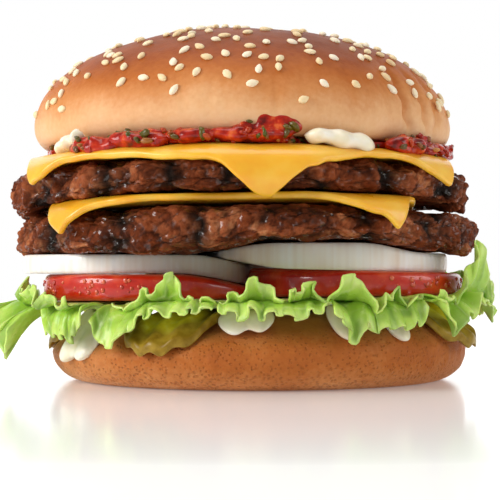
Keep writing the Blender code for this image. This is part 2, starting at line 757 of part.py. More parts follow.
def leaves():
    """The lettuce: leaves of layer 0 droop over the heel's shoulder and those of layer 1 rise beside the tomato."""
    return (
        Leaf("lettuce_left", 0, (157.0, 204.5), 74.0, -4.0, ((200.0, -8.0, 6.0), (178.0, -4.0, 6.0)), 4.0, 5.0, 12.0),
        Leaf("lettuce_left_fold", 0, (206.0, 224.5), 64.5, -7.5, ((214.0, -0.5, 6.0),), 0.5, 1.0, 13.0),
        Leaf("lettuce_front_left", 0, (225.5, 259.0), 63.5, -1.5, ((232.0, -9.5, 7.0),), 0.6, 2.5, 6.0),
        Leaf("lettuce_front", 0, (260.0, 286.0), 62.0, -2.2, ((277.0, -1.0, 4.0),), 0.9, 4.0, 6.0),
        Leaf("lettuce_front_right", 0, (287.0, 313.0), 63.5, -6.5, ((292.5, -3.0, 1.8),), 0.8, 4.0, 7.0),
        Leaf("lettuce_right", 0, (314.0, 354.0), 66.0, -4.5, ((320.0, -2.5, 4.0), (335.0, 4.0, 5.0)), 1.6, 5.0, 8.0),
        Leaf("lettuce_back_right", 0, (355.0, 436.0), 65.0, -4.0, ((385.0, -3.0, 6.0), (415.0, -4.0, 8.0)), 2.8, 6.0),
        Leaf("lettuce_back_left", 0, (437.0, 516.0), 66.0, -4.0, ((460.0, -4.0, 7.0), (495.0, -4.0, 8.0)), 2.8, 6.0),
        Leaf(
            "lettuce_curl_left", 1, (163.0, 222.0), 67.5, 3.0, ((196.0, 2.5, 6.0), (214.0, -1.0, 5.0)),
            1.8, 6.0, 5.0, 62.0,
        ),
        Leaf(
            "lettuce_curl_front_left", 1, (231.0, 259.5), 60.5, 1.5,
            ((236.0, -4.0, 3.5), (241.0, 2.5, 3.5), (247.6, 7.0, 2.6), (255.0, -1.0, 2.5)), 0.4, 2.0,
        ),
        Leaf("lettuce_curl_front", 1, (260.5, 275.5), 60.5, 1.0, ((268.8, 4.5, 3.4),), 0.5, 2.0),
        Leaf(
            "lettuce_curl_right", 1, (276.5, 313.0), 61.5, 2.6,
            ((280.0, 1.5, 2.5), (285.5, -2.0, 2.0), (292.0, 4.0, 2.5), (299.0, -4.5, 3.0), (308.0, -4.0, 2.4)), 1.3, 6.5,
        ),
        Leaf(
            "lettuce_curl_far_right", 1, (314.0, 356.0), 65.5, 3.0, ((333.0, 11.0, 6.0), (319.0, -3.0, 4.0), (346.0, -4.0, 4.0)),
            1.2, 5.0, 7.0, 58.0,
        ),
        Leaf(
            "lettuce_curl_back_right", 1, (362.0, 440.0), 61.5, 3.0,
            ((374.0, 4.0, 5.0), (393.0, 7.5, 7.0), (416.0, 6.0, 6.0)), 1.5, 5.0,
        ),
        Leaf("lettuce_curl_back_left", 1, (463.0, 518.0), 62.0, 3.0, ((481.0, 5.5, 7.0), (503.0, 4.0, 6.0)), 1.5, 4.0),
    )


def main():
    clear_scene()
    burger = new_collection("double cheeseburger")
    heel(burger)
    lower_dollops(burger)
    pickles(burger)
    for leaf in leaves():
        leaf.build(burger)
    slices(burger)
    LOWER_PATTY.build(burger)
    lower_cheese(burger)
    UPPER_PATTY.build(burger)
    upper_cheese(burger)
    relish(burger)
    for name, (around, radius, height, half) in upper_dollops().items():
        upper_dollop(name, around, radius, height, half, burger)
    sesame_crown(burger)


main()
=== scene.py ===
"""A double cheeseburger as photographed in a white studio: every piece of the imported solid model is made
again finer and given the finish of real food, and sesame seeds, relish bits and drops of water are added.

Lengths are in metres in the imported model's own frame: +Z up, -Y the front.
"""

import math
import random

import bmesh
import bpy
from mathutils import Matrix, Vector, noise


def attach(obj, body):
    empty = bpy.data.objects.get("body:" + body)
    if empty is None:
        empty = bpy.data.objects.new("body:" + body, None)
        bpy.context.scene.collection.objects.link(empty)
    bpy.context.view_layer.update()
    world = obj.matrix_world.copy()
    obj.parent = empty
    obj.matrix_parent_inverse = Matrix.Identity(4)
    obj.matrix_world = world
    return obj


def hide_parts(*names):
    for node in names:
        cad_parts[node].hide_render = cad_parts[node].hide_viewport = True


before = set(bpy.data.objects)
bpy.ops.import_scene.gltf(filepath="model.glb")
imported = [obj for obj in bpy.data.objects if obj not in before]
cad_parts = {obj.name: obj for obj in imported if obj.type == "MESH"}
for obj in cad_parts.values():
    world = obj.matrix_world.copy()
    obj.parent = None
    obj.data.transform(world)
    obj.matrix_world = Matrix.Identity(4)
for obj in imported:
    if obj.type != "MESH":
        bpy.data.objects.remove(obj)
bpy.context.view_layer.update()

# noise_vector, which warps the patties' crumbs, takes its offsets from the clock unless they are seeded.
noise.seed_set(7)

MM = 0.001
GAP = 0.3 * MM
SLAB_EDGE_SHARE = 0.65
SLAB_FULLNESS = 0.6

# Bun
CROWN_CENTRE = Vector((-4.6, 0.0)) * MM
CROWN_RADIUS = 58.5 * MM
CROWN_UNDERSIDE = 64.2 * MM
CROWN_WIDEST = 70.0 * MM
CROWN_TOP = 98.4 * MM
CROWN_MOUTH = 0.925
CROWN_FACET = 0.965
HEEL_RADIUS = 58.3 * MM
HEEL_FOOT_RADIUS = 49.0 * MM
HEEL_WIDEST = 8.5 * MM
HEEL_HEIGHT = 16.8 * MM
HEEL_FLAT_RADIUS = 43.0 * MM
HEEL_SLOPE = 0.045
HEEL_CRUMB_RISE = 1.8 * MM
HEEL_CRUMB_EDGES = (51.0 * MM, 41.0 * MM)
SHOULDER_FALL = 0.8

# Sesame seeds
SEED_SIZE = Vector((3.4, 2.1, 1.4)) * MM
SEED_COUNT = 265
SEED_SPACING = 3.0 * MM
SEED_STEEPEST = math.radians(85.0)
SEED_LIFT = 0.3 * MM

# Patties
PATTY_SHOULDER = 8.0 * MM
PATTY_FOOT = 4.5 * MM
PATTY_LUMP = 9.0 * MM
CHEESE_THICKNESS = 1.9 * MM
CHEESE_SIDE = 86.0 * MM
RELISH_CORNER = 1.5 * MM
RELISH_SWELL = 2.2 * MM
RELISH_BITS = 190

# Vegetables
TOMATO_CORNER = 2.0 * MM
ONION_CORNER = 0.9 * MM
LEAF_THICKNESS = 0.55 * MM
LEAF_ROOT = 10.0 * MM
LEAF_HELD = 0.25
LEAF_SLOPE = 0.02
LEAF_CLOSER = (2.6 * MM, -1.6 * MM)
PICKLE_RADIUS = 13.0 * MM
PICKLE_THICKNESS = 2.7 * MM
PICKLE_CORNER = 0.6 * MM
CRINKLE_PITCH = 6.2 * MM
CRINKLE_DEPTH = 0.65 * MM

# Camera, measured from the photograph
CAMERA_SPOT = Vector((-2.7, -440.0, 30.0)) * MM
CAMERA_TARGET = Vector((-2.7, 0.0, 36.3)) * MM
CAMERA_LENS = 111.2


# Pieces


def finish_piece(shape, name, look, replaced=()):
    """Ends a bmesh, makes it a piece of the burger and hides the solids it stands for."""
    mesh = bpy.data.meshes.new(name)
    shape.to_mesh(mesh)
    shape.free()
    mesh.shade_smooth()
    mesh.materials.append(look)
    piece = bpy.data.objects.new(name, mesh)
    bpy.context.scene.collection.objects.link(piece)
    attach(piece, "root")
    if replaced:
        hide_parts(*replaced)
    return piece


def smooth(low, high, value):
    share = min(1.0, max(0.0, (value - low) / (high - low)))
    return share * share * (3.0 - 2.0 * share)


def bump(value, middle, width):
    return math.exp(-(((value - middle) / width) ** 2))


def turn_between(first, second):
    """The signed angle from the second direction to the first, in degrees, from -180 to 180."""
    return (first - second + 180.0) % 360.0 - 180.0


def ripple(angle, seed, size=1.0):
    """Smooth noise from about -1 to 1 that closes on itself round a circle."""
    return noise.noise(Vector((math.cos(angle) * size, math.sin(angle) * size, seed * 7.3)))


def lumps(point, size, seed):
    return noise.noise(point / size + Vector((seed * 3.1, seed * 1.7, seed * 5.9)))


def at_angle(centre, angle, radius, height):
    return Vector((centre[0] + radius * math.cos(angle), centre[1] + radius * math.sin(angle), height))


def placed_sphere(steps, rings, marks, place):
    """A sphere moved to where place(angle, tilt, direction) says, its points keeping that one's marks."""
    shape = bmesh.new()
    bmesh.ops.create_grid(shape, x_segments=steps, y_segments=rings, size=0.5)
    for vert in shape.verts:
        angle, tilt = vert.co.x * 2.0 * math.pi, vert.co.y * math.pi
        vert.co = (math.cos(angle) * math.cos(tilt), math.sin(angle) * math.cos(tilt), math.sin(tilt))
    bmesh.ops.remove_doubles(shape, verts=shape.verts, dist=1e-5)
    layers = [shape.verts.layers.float.new(mark) for mark in marks]
    for vert in shape.verts:
        angle = math.atan2(vert.co.y, vert.co.x)
        tilt = math.asin(min(1.0, max(-1.0, vert.co.z)))
        spot, *values = place(angle, tilt, vert.co.copy())
        vert.co = spot
        for layer, value in zip(layers, values):
            vert[layer] = value
    bmesh.ops.recalc_face_normals(shape, faces=shape.faces)
    return shape


def slab_edge(tilt, rim, corner):
    """A slab's radius, height share (-1 to 1) and outward direction at a tilt: flat, then a round edge."""
    share = abs(tilt) / (math.pi / 2.0)
    around = min(1.0, share / SLAB_EDGE_SHARE) * math.pi / 2.0
    inward = max(0.0, share - SLAB_EDGE_SHARE) / (1.0 - SLAB_EDGE_SHARE)
    radius = (rim - corner * (1.0 - math.cos(around))) * (1.0 - inward)
    return radius, math.copysign(math.sin(around) ** SLAB_FULLNESS, tilt), math.copysign(around, tilt)


def placed_sheet(columns, rows, marks, place):
    """A sheet whose middle comes from place(across, along), both from 0 to 1."""
    shape = bmesh.new()
    bmesh.ops.create_grid(shape, x_segments=columns, y_segments=rows, size=0.5)
    layers = [shape.verts.layers.float.new(mark) for mark in marks]
    for vert in shape.verts:
        spot, *values = place(vert.co.x + 0.5, vert.co.y + 0.5)
        vert.co = spot
        for layer, value in zip(layers, values):
            vert[layer] = value
    return shape


def thicken(piece, thickness):
    solid = piece.modifiers.new("thickness", "SOLIDIFY")
    solid.thickness = thickness
    solid.offset = 0.0
    solid.use_even_offset = False


def soften(piece, levels=1):
    rounding = piece.modifiers.new("rounding", "SUBSURF")
    rounding.levels = levels
    rounding.render_levels = levels


# Materials


def linear(code):
    """The linear colour of an sRGB hex code."""
    shares = [int(code[place : place + 2], 16) / 255.0 for place in (0, 2, 4)]
    return [
        share / 12.92 if share <= 0.04045 else ((share + 0.055) / 1.055) ** 2.4 for share in shares
    ] + [1.0]


def add(tree, kind, values=(), links=(), stops=(), out=0, **settings):
    """Adds a shader node: socket values, what feeds them, colour stops and settings. Gives its output."""
    made = tree.nodes.new("ShaderNode" + kind)
    for name, value in settings.items():
        setattr(made, name, value)
    for socket, value in dict(values).items():
        made.inputs[socket].default_value = value
    for socket, source in dict(links).items():
        tree.links.new(source, made.inputs[socket])
    for number, (place, code) in enumerate(stops):
        elements = made.color_ramp.elements
        element = elements[number] if number < 2 else elements.new(place)
        element.position = place
        element.color = linear(code)
    return made.outputs[out]


def new_material(name, values):
    """A material with a Principled shader whose uniform values are set, and its node tree."""
    made = bpy.data.materials.new(name)
    made.use_nodes = True
    tree = made.node_tree
    shader = tree.nodes["Principled BSDF"]
    for socket, value in values.items():
        shader.inputs[socket].default_value = value
    return made, tree


def dressed(made, sources):
    """Feeds sockets of the material's shader and gives the material back."""
    shader = made.node_tree.nodes["Principled BSDF"]
    for socket, source in sources.items():
        made.node_tree.links.new(source, shader.inputs[socket])
    return made


def brioche_crust():
    """Baked brioche crust: egg-washed, softly glossy, with pores painted dark as shade, darkest where it
    rose highest.
    """
    made, tree = new_material(
        "baked brioche crust",
        {
            "Roughness": 0.5, "IOR": 1.45, "Specular IOR Level": 0.14, "Subsurface Weight": 0.08,
            "Subsurface Radius": (1.0, 0.45, 0.2), "Subsurface Scale": 2.0 * MM,
        },
    )
    here = add(tree, "TexCoord", out="Object")
    # This mark holds baked browning together with painted shade in the crown's creases and painted light on
    # the heel's left side.
    toast = add(tree, "Attribute", out="Fac", attribute_name="toast")
    blotch = add(tree, "TexNoise", {"Scale": 1 / (14 * MM), "Detail": 4.0}, {"Vector": here})
    fleck = add(tree, "TexNoise", {"Scale": 1 / (1.3 * MM), "Detail": 3.0}, {"Vector": here})
    uneven = add(tree, "Math", {1: 0.34}, {0: blotch, 2: toast}, operation="MULTIPLY_ADD")
    speckled = add(tree, "Math", {1: 0.16}, {0: fleck, 2: uneven}, operation="MULTIPLY_ADD")
    level = add(tree, "Math", {1: 0.25}, {0: speckled}, operation="SUBTRACT")
    crust = add(
        tree, "ValToRGB", links={"Fac": level},
        stops=(
            (0.0, "efc79b"), (0.2, "e5b07e"), (0.4, "d18b52"), (0.6, "b9692f"), (0.8, "9b4c1d"),
            (1.0, "753412"),
        ),
    )
    pore = add(tree, "Attribute", out="Fac", attribute_name="pore")
    cells = add(tree, "TexVoronoi", {"Scale": 1 / (1.0 * MM)}, {"Vector": here})
    width = add(tree, "Math", {1: 0.7}, {0: pore}, operation="MULTIPLY")
    pit = add(
        tree, "MapRange", {"From Min": 0.0, "To Min": 1.0, "To Max": 0.0},
        {"Value": cells, "From Max": width}, interpolation_type="SMOOTHSTEP",
    )
    # Painted shade: the crust is mixed towards dark brown inside each pore.
    shown = add(tree, "Math", {1: 0.45}, {0: pit}, operation="MULTIPLY")
    pitted = add(tree, "Mix", {7: linear("8a4a1e")}, {0: shown, 6: crust}, out=2, data_type="RGBA")
    wrinkle = add(
        tree, "TexNoise", {"Scale": 1 / (0.9 * MM), "Detail": 5.0, "Roughness": 0.6}, {"Vector": here},
    )
    coarse = add(tree, "MapRange", {"To Min": 0.35, "To Max": 1.0}, {"Value": pore})
    skin = add(tree, "Bump", {"Distance": 0.25 * MM}, {"Height": wrinkle, "Strength": coarse})
    sunk = add(
        tree, "Bump", {"Strength": 0.8, "Distance": 0.35 * MM}, {"Height": pit, "Normal": skin}, invert=True,
    )
    return dressed(made, {"Base Color": pitted, "Normal": sunk})


def sesame_seed():
    """Toasted sesame: cream hulls with a dull satin face, each a little darker or paler than the next."""
    made, tree = new_material(
        "toasted sesame",
        {
            "Roughness": 0.42, "Subsurface Weight": 0.15, "Subsurface Radius": (1.0, 0.7, 0.4),
            "Subsurface Scale": 0.8 * MM,
        },
    )
    tone = add(tree, "Attribute", out="Fac", attribute_name="tone")
    hull = add(
        tree, "ValToRGB", links={"Fac": tone},
        stops=((0.0, "c9995a"), (0.3, "e6c48c"), (0.7, "f2dcae"), (1.0, "f8ead0")),
    )
    return dressed(made, {"Base Color": hull})


def grilled_beef():
    """Grilled minced beef: crumbly, brown to black where it charred, with shade painted into its crevices
    and fat glistening on the crumbs.
    """
    made, tree = new_material(
        "grilled minced beef",
        {
            "IOR": 1.45, "Roughness": 0.6, "Specular IOR Level": 0.15,
            "Specular Tint": (1.0, 0.75, 0.55, 1.0), "Subsurface Weight": 0.04,
            "Subsurface Radius": (1.0, 0.3, 0.2), "Subsurface Scale": 1.0 * MM, "Coat Roughness": 0.08,
        },
    )
    here = add(tree, "TexCoord", out="Object")
    depth = add(tree, "Attribute", out="Fac", attribute_name="depth")
    crumb = add(tree, "Attribute", out="Fac", attribute_name="crumb")
    char = add(tree, "Attribute", out="Fac", attribute_name="char")
    grain = add(
        tree, "TexNoise", {"Scale": 1 / (1.1 * MM), "Detail": 5.0, "Roughness": 0.65}, {"Vector": here},
    )
    mixed = add(tree, "Math", {1: 0.65}, {0: grain, 2: crumb}, operation="MULTIPLY_ADD")
    level = add(tree, "Math", {1: 0.3}, {0: mixed}, operation="SUBTRACT")
    meat = add(
        tree, "ValToRGB", links={"Fac": level},
        stops=((0.0, "451a0c"), (0.3, "753518"), (0.55, "9a5230"), (0.8, "b97a50"), (1.0, "d4a67a")),
    )
    # Painted shade: the meat is mixed towards near-black where it lies deep between crumbs and lobes.
    sunk = add(tree, "Mix", {7: linear("1c0a06")}, {0: depth, 6: meat}, out=2, data_type="RGBA")
    burnt = add(tree, "Mix", {7: linear("0d0605")}, {0: char, 6: sunk}, out=2, data_type="RGBA")
    gloss = add(tree, "TexNoise", {"Scale": 1 / (1.7 * MM), "Detail": 3.0}, {"Vector": here})
    fat = add(
        tree, "MapRange", {"From Min": 0.55, "From Max": 0.64, "To Min": 0.0, "To Max": 0.9},
        {"Value": gloss},
    )
    relief = add(tree, "Bump", {"Strength": 0.9, "Distance": 0.45 * MM}, {"Height": grain})
    return dressed(made, {"Base Color": burnt, "Coat Weight": fat, "Normal": relief})


def melted_cheese():
    """Melted cheddar slice: smooth and waxy, light goes a little way in, with a soft oily gloss."""
    made, tree = new_material(
        "melted cheddar",
        {
            "IOR": 1.46, "Subsurface Weight": 0.3, "Subsurface Radius": (1.0, 0.55, 0.12),
            "Subsurface Scale": 2.5 * MM, "Coat Weight": 0.35, "Coat Roughness": 0.2,
        },
    )
    here = add(tree, "TexCoord", out="Object")
    cloud = add(tree, "TexNoise", {"Scale": 1 / (9 * MM), "Detail": 3.0}, {"Vector": here})
    tint = add(
        tree, "ValToRGB", links={"Fac": cloud}, stops=((0.3, "f2a51c"), (0.5, "f7b62a"), (0.7, "fbc545")),
    )
    sheen = add(
        tree, "MapRange", {"From Min": 0.3, "From Max": 0.7, "To Min": 0.26, "To Max": 0.4},
        {"Value": cloud},
    )
    soft = add(tree, "TexNoise", {"Scale": 1 / (2.2 * MM), "Detail": 2.0}, {"Vector": here})
    dimple = add(tree, "Bump", {"Strength": 0.25, "Distance": 0.12 * MM}, {"Height": soft})
    return dressed(made, {"Base Color": tint, "Roughness": sheen, "Normal": dimple})


def red_relish(name, attribute):
    """Cooked tomato relish: a wet, glossy sauce with darker pulp in it."""
    made, tree = new_material(
        name,
        {
            "Roughness": 0.2, "IOR": 1.4, "Specular IOR Level": 0.3, "Subsurface Weight": 0.12,
            "Subsurface Radius": (1.0, 0.15, 0.08), "Subsurface Scale": 1.5 * MM, "Coat Weight": 0.3,
            "Coat Roughness": 0.08,
        },
    )
    here = add(tree, "TexCoord", out="Object")
    pulp = add(
        tree, "TexNoise", {"Scale": 1 / (2.4 * MM), "Detail": 2.5, "Roughness": 0.5}, {"Vector": here},
    )
    colour = add(
        tree, "ValToRGB", links={"Fac": pulp},
        stops=((0.3, "640d05"), (0.45, "9c1808"), (0.6, "bd2c10"), (0.72, "d6602c")),
    )
    if attribute:
        kind = add(tree, "Attribute", out="Fac", attribute_name=attribute)
        colour = add(
            tree, "ValToRGB", links={"Fac": kind},
            stops=(
                (0.0, "9c1a0a"), (0.3, "b8421c"), (0.45, "4e5212"), (0.62, "5a4a1a"), (0.8, "6b3210"),
                (1.0, "c9843c"),
            ),
        )
    relief = add(tree, "Bump", {"Strength": 0.35, "Distance": 0.25 * MM}, {"Height": pulp})
    return dressed(made, {"Base Color": colour, "Normal": relief})


def whipped_mayonnaise():
    """Mayonnaise: a smooth cream-white emulsion with a wet shine."""
    made, tree = new_material(
        "mayonnaise",
        {
            "Roughness": 0.22, "IOR": 1.42, "Subsurface Weight": 0.3, "Subsurface Radius": (1.0, 0.85, 0.6),
            "Subsurface Scale": 1.6 * MM, "Coat Weight": 0.2, "Coat Roughness": 0.1,
        },
    )
    here = add(tree, "TexCoord", out="Object")
    cloud = add(tree, "TexNoise", {"Scale": 1 / (5 * MM), "Detail": 2.0}, {"Vector": here})
    cream = add(tree, "ValToRGB", links={"Fac": cloud}, stops=((0.35, "efe4c6"), (0.65, "f9f3e2")))
    swirl = add(tree, "Bump", {"Strength": 0.2, "Distance": 0.3 * MM}, {"Height": cloud})
    return dressed(made, {"Base Color": cream, "Normal": swirl})


def raw_onion():
    """Raw white onion: wet, glassy flesh, with upright fibres on its edge and rings on its cut faces."""
    made, tree = new_material(
        "raw white onion",
        {
            "Roughness": 0.32, "IOR": 1.38, "Subsurface Weight": 0.35, "Subsurface Radius": (1.0, 0.9, 0.7),
            "Subsurface Scale": 3.0 * MM, "Coat Weight": 0.16, "Coat Roughness": 0.1,
        },
    )
    fibre = add(tree, "Attribute", out="Fac", attribute_name="fibre")
    flesh = add(
        tree, "ValToRGB", links={"Fac": fibre},
        stops=((0.0, "d9c3ab"), (0.35, "eedecb"), (0.7, "f9f2e7"), (1.0, "fefcf7")),
    )
    ridge = add(tree, "Bump", {"Strength": 0.2, "Distance": 0.2 * MM}, {"Height": fibre})
    return dressed(made, {"Base Color": flesh, "Normal": ridge})


def raw_tomato():
    """Raw tomato: a taut, mirror-smooth red skin round the edge and paler wet flesh on the cut faces."""
    made, tree = new_material(
        "raw tomato",
        {
            "IOR": 1.4, "Subsurface Weight": 0.15, "Subsurface Radius": (1.0, 0.2, 0.1),
            "Subsurface Scale": 2.0 * MM, "Coat Roughness": 0.05,
        },
    )
    here = add(tree, "TexCoord", out="Object")
    skin = add(tree, "Attribute", out="Fac", attribute_name="skin")
    cloud = add(tree, "TexNoise", {"Scale": 1 / (7 * MM), "Detail": 4.0}, {"Vector": here})
    red = add(
        tree, "ValToRGB", links={"Fac": cloud}, stops=((0.3, "b0180a"), (0.5, "cd2911"), (0.7, "e25229")),
    )
    flesh = add(tree, "ValToRGB", links={"Fac": cloud}, stops=((0.35, "c93a20"), (0.65, "e27852")))
    both = add(tree, "Mix", links={0: skin, 6: flesh, 7: red}, out=2, data_type="RGBA")
    dots = add(tree, "TexVoronoi", {"Scale": 1 / (1.5 * MM)}, {"Vector": here})
    dot = add(
        tree, "MapRange", {"From Min": 0.08, "From Max": 0.2, "To Min": 0.3, "To Max": 0.0}, {"Value": dots},
    )
    dotted = add(tree, "Mix", {7: linear("e8703c")}, {0: dot, 6: both}, out=2, data_type="RGBA")
    wet = add(tree, "MapRange", {"To Min": 0.5, "To Max": 0.26}, {"Value": skin})
    shine = add(tree, "MapRange", {"To Min": 0.0, "To Max": 0.6}, {"Value": skin})
    taut = add(tree, "Bump", {"Strength": 0.12, "Distance": 0.2 * MM}, {"Height": cloud})
    return dressed(made, {"Base Color": dotted, "Roughness": wet, "Coat Weight": shine, "Normal": taut})


def lettuce_leaf():
    """Green leaf lettuce: thin, so light comes through, waxy, pale on its ribs, yellower at its frill, with
    shade painted into its folds.
    """
    made, tree = new_material(
        "leaf lettuce",
        {
            "IOR": 1.42, "Subsurface Weight": 0.35, "Subsurface Radius": (0.5, 1.0, 0.15),
            "Subsurface Scale": 1.2 * MM, "Coat Weight": 0.1, "Coat Roughness": 0.2,
        },
    )
    here = add(tree, "TexCoord", out="Object")
    along = add(tree, "Attribute", out="Fac", attribute_name="along")
    vein = add(tree, "Attribute", out="Fac", attribute_name="vein")
    fold = add(tree, "Attribute", out="Fac", attribute_name="fold")
    blotch = add(tree, "TexNoise", {"Scale": 1 / (8 * MM), "Detail": 4.0}, {"Vector": here})
    shade = add(tree, "Math", {1: 0.7}, {0: blotch, 2: along}, operation="MULTIPLY_ADD")
    level = add(tree, "Math", {1: 0.35}, {0: shade}, operation="SUBTRACT")
    green = add(
        tree, "ValToRGB", links={"Fac": level},
        stops=((0.0, "cfe08a"), (0.3, "bcdb5a"), (0.6, "99c03c"), (0.8, "b2d452"), (1.0, "cde678")),
    )
    # Painted shade: the leaf is mixed towards dark green in its folds.
    dark = add(tree, "Mix", {7: linear("588524")}, {0: fold, 6: green}, out=2, data_type="RGBA")
    ribbed = add(tree, "Mix", {7: linear("dde6a6")}, {0: vein, 6: dark}, out=2, data_type="RGBA")
    cells = add(
        tree, "TexNoise", {"Scale": 1 / (1.4 * MM), "Detail": 3.0, "Roughness": 0.6}, {"Vector": here},
    )
    wax = add(
        tree, "MapRange", {"From Min": 0.3, "From Max": 0.7, "To Min": 0.25, "To Max": 0.42},
        {"Value": cells},
    )
    relief = add(tree, "Bump", {"Strength": 0.45, "Distance": 0.25 * MM}, {"Height": cells})
    raised = add(tree, "Bump", {"Strength": 0.5, "Distance": 0.3 * MM}, {"Height": vein, "Normal": relief})
    return dressed(made, {"Base Color": ribbed, "Roughness": wax, "Normal": raised})


def dill_pickle():
    """Dill pickle: wet and glassy, yellow-olive where it is cut and a dark green rind round the edge."""
    made, tree = new_material(
        "dill pickle",
        {
            "Roughness": 0.32, "IOR": 1.38, "Specular IOR Level": 0.3, "Subsurface Weight": 0.12,
            "Subsurface Radius": (1.0, 0.9, 0.2), "Subsurface Scale": 1.5 * MM, "Coat Weight": 0.12,
            "Coat Roughness": 0.12,
        },
    )
    here = add(tree, "TexCoord", out="Object")
    rind = add(tree, "Attribute", out="Fac", attribute_name="rind")
    cloud = add(tree, "TexNoise", {"Scale": 1 / (3 * MM), "Detail": 4.0}, {"Vector": here})
    flesh = add(
        tree, "ValToRGB", links={"Fac": cloud}, stops=((0.3, "dcc222"), (0.5, "f0d938"), (0.7, "f6e668")),
    )
    skin = add(tree, "ValToRGB", links={"Fac": cloud}, stops=((0.35, "866816"), (0.65, "ae8e30")))
    both = add(tree, "Mix", links={0: rind, 6: flesh, 7: skin}, out=2, data_type="RGBA")
    relief = add(tree, "Bump", {"Strength": 0.3, "Distance": 0.2 * MM}, {"Height": cloud})
    return dressed(made, {"Base Color": both, "Normal": relief})


# Bun


def crown_rim(angle):
    """The crown's outline: nearly round, a little pulled in where the loaf tore from its neighbour."""
    torn = 0.02 * bump(turn_between(math.degrees(angle), -41.0), 0.0, 9.0)
    return CROWN_RADIUS * (1.0 + 0.012 * ripple(angle, 2) - torn)


def crown_point(angle, share):
    """A point on the domed top, share being 0 at its middle and 1 at its widest line."""
    height = (CROWN_TOP - CROWN_WIDEST) * math.sqrt(max(0.0, 1.0 - share * share))
    point = at_angle(CROWN_CENTRE, angle, crown_rim(angle) * share, CROWN_WIDEST + height)
    point.z += 0.7 * MM * lumps(point, 22.0 * MM, 4)
    return point


def crown_crease(angle, height):
    """How deep the crust is creased: a torn line at the right and faint upright wrinkles above the rim."""
    degrees = math.degrees(angle)
    low = smooth(CROWN_UNDERSIDE, CROWN_WIDEST, height) * (1.0 - smooth(76.0 * MM, 88.0 * MM, height))
    bent_by = 2.5 * noise.noise(Vector((height / (5.0 * MM), 4.0, 2.0)))
    torn = 1.5 * bump(turn_between(degrees + bent_by, -41.0), 0.0, 1.5)
    torn += 1.1 * bump(turn_between(degrees + bent_by, -33.0), 0.0, 1.4)
    torn += 0.8 * bump(turn_between(degrees - bent_by, -26.0), 0.0, 1.5)
    wrinkle = noise.noise(Vector((degrees / 2.6, height / (16.0 * MM), 7.0)))
    return (torn + 0.5 * max(0.0, wrinkle) ** 1.5) * low * MM


def crown(look):
    """The domed top half of the bun, with wrinkled crust, browner towards its top and painted darker in its
    creases as shade.
    """

    def place(angle, tilt, _):
        if tilt >= 0.0:
            share = math.cos(tilt)
            spot = crown_point(angle, share)
            crease = crown_crease(angle, spot.z)
            proud = 0.12 * MM * lumps(spot, 4.0 * MM, 6) - crease
            spot += Vector((math.cos(angle) * share, math.sin(angle) * share, math.sin(tilt))) * proud
        else:
            down = -tilt / (math.pi / 2.0)
            turn = min(1.0, down / 0.4) * math.pi / 2.0
            inward = max(0.0, down - 0.4) / 0.6
            out = (CROWN_MOUTH + (1.0 - CROWN_MOUTH) * math.cos(turn)) * (1.0 - inward)
            height = CROWN_WIDEST - (CROWN_WIDEST - CROWN_UNDERSIDE) * math.sin(turn)
            crease = crown_crease(angle, height)
            spot = at_angle(CROWN_CENTRE, angle, crown_rim(angle) * out - crease * math.cos(turn), height)
            spot.z += 0.7 * MM * lumps(spot, 22.0 * MM, 4) * math.cos(turn) ** 2
        away = 0.08 * ripple(angle, 41, 2.0)
        # Painted shade: the deeper a crease, the darker its crust is painted.
        toast = 0.1 + 0.82 * smooth(64.0 * MM, 93.0 * MM, spot.z + away * 30.0 * MM) + 0.12 * crease / MM
        return spot, toast, 0.0

    shape = placed_sphere(420, 130, ("toast", "pore"), place)
    return finish_piece(shape, "crown", look, ("bun_crown",))


def seed_places():
    """Where the seeds lie: angle, share of the way out, turn. They thin out on the steep side."""
    draw = random.Random(11)
    taken = []
    places = []
    while len(places) < SEED_COUNT:
        angle = draw.uniform(-math.pi, math.pi)
        tilt = draw.random() ** 0.55 * SEED_STEEPEST
        share = math.sin(tilt)
        keep = 1.0 - 0.6 * smooth(0.8, 1.0, tilt / SEED_STEEPEST)
        chance = draw.random()
        turn = draw.uniform(0.0, math.pi * 2.0)
        spot = crown_point(angle, share)
        if chance > keep or any((spot - other).length < SEED_SPACING for other in taken):
            continue
        taken.append(spot)
        places.append((angle, share, turn))
    return places


def crown_frame(angle, share, turn):
    """The matrix that lays a seed on the dome, its long axis turned in the surface."""
    here = crown_point(angle, share)
    outward = (crown_point(angle, share + 0.01) - here).normalized()
    around = Vector((-math.sin(angle), math.cos(angle), 0.0))
    normal = outward.cross(around).normalized()
    along = outward * math.cos(turn) + around * math.sin(turn)
    across = normal.cross(along).normalized()
    along = across.cross(normal)
    matrix = Matrix((along, across, normal)).transposed().to_4x4()
    matrix.translation = here + normal * SEED_LIFT
    return matrix


def kept_mesh(shape):
    mesh = bpy.data.meshes.new("pattern")
    shape.to_mesh(mesh)
    shape.free()
    return mesh


def scattered(name, look, mark, copies):
    """One piece made of many copies of small meshes, each with its matrix and what it adds to the mark."""
    shape = bmesh.new()
    for pattern, matrix, shift in copies:
        mesh = pattern.copy()
        mesh.transform(matrix)
        values = mesh.attributes[mark].data
        for value in values:
            value.value += shift
        shape.from_mesh(mesh)
        bpy.data.meshes.remove(mesh)
    return finish_piece(shape, name, look)


def seed_pattern():
    """One sesame seed: a flat drop, darker at its pointed end."""
    shape = bmesh.new()
    bmesh.ops.create_uvsphere(shape, u_segments=10, v_segments=6, radius=1.0)
    tone = shape.verts.layers.float.new("tone")
    for vert in shape.verts:
        nose = max(0.0, vert.co.x)
        vert[tone] = -0.35 * smooth(0.7, 1.0, vert.co.x)
        vert.co.y *= 1.0 - 0.42 * nose - 0.25 * nose**3
        vert.co = Vector(part * length / 2.0 for part, length in zip(vert.co, SEED_SIZE))
    return kept_mesh(shape)


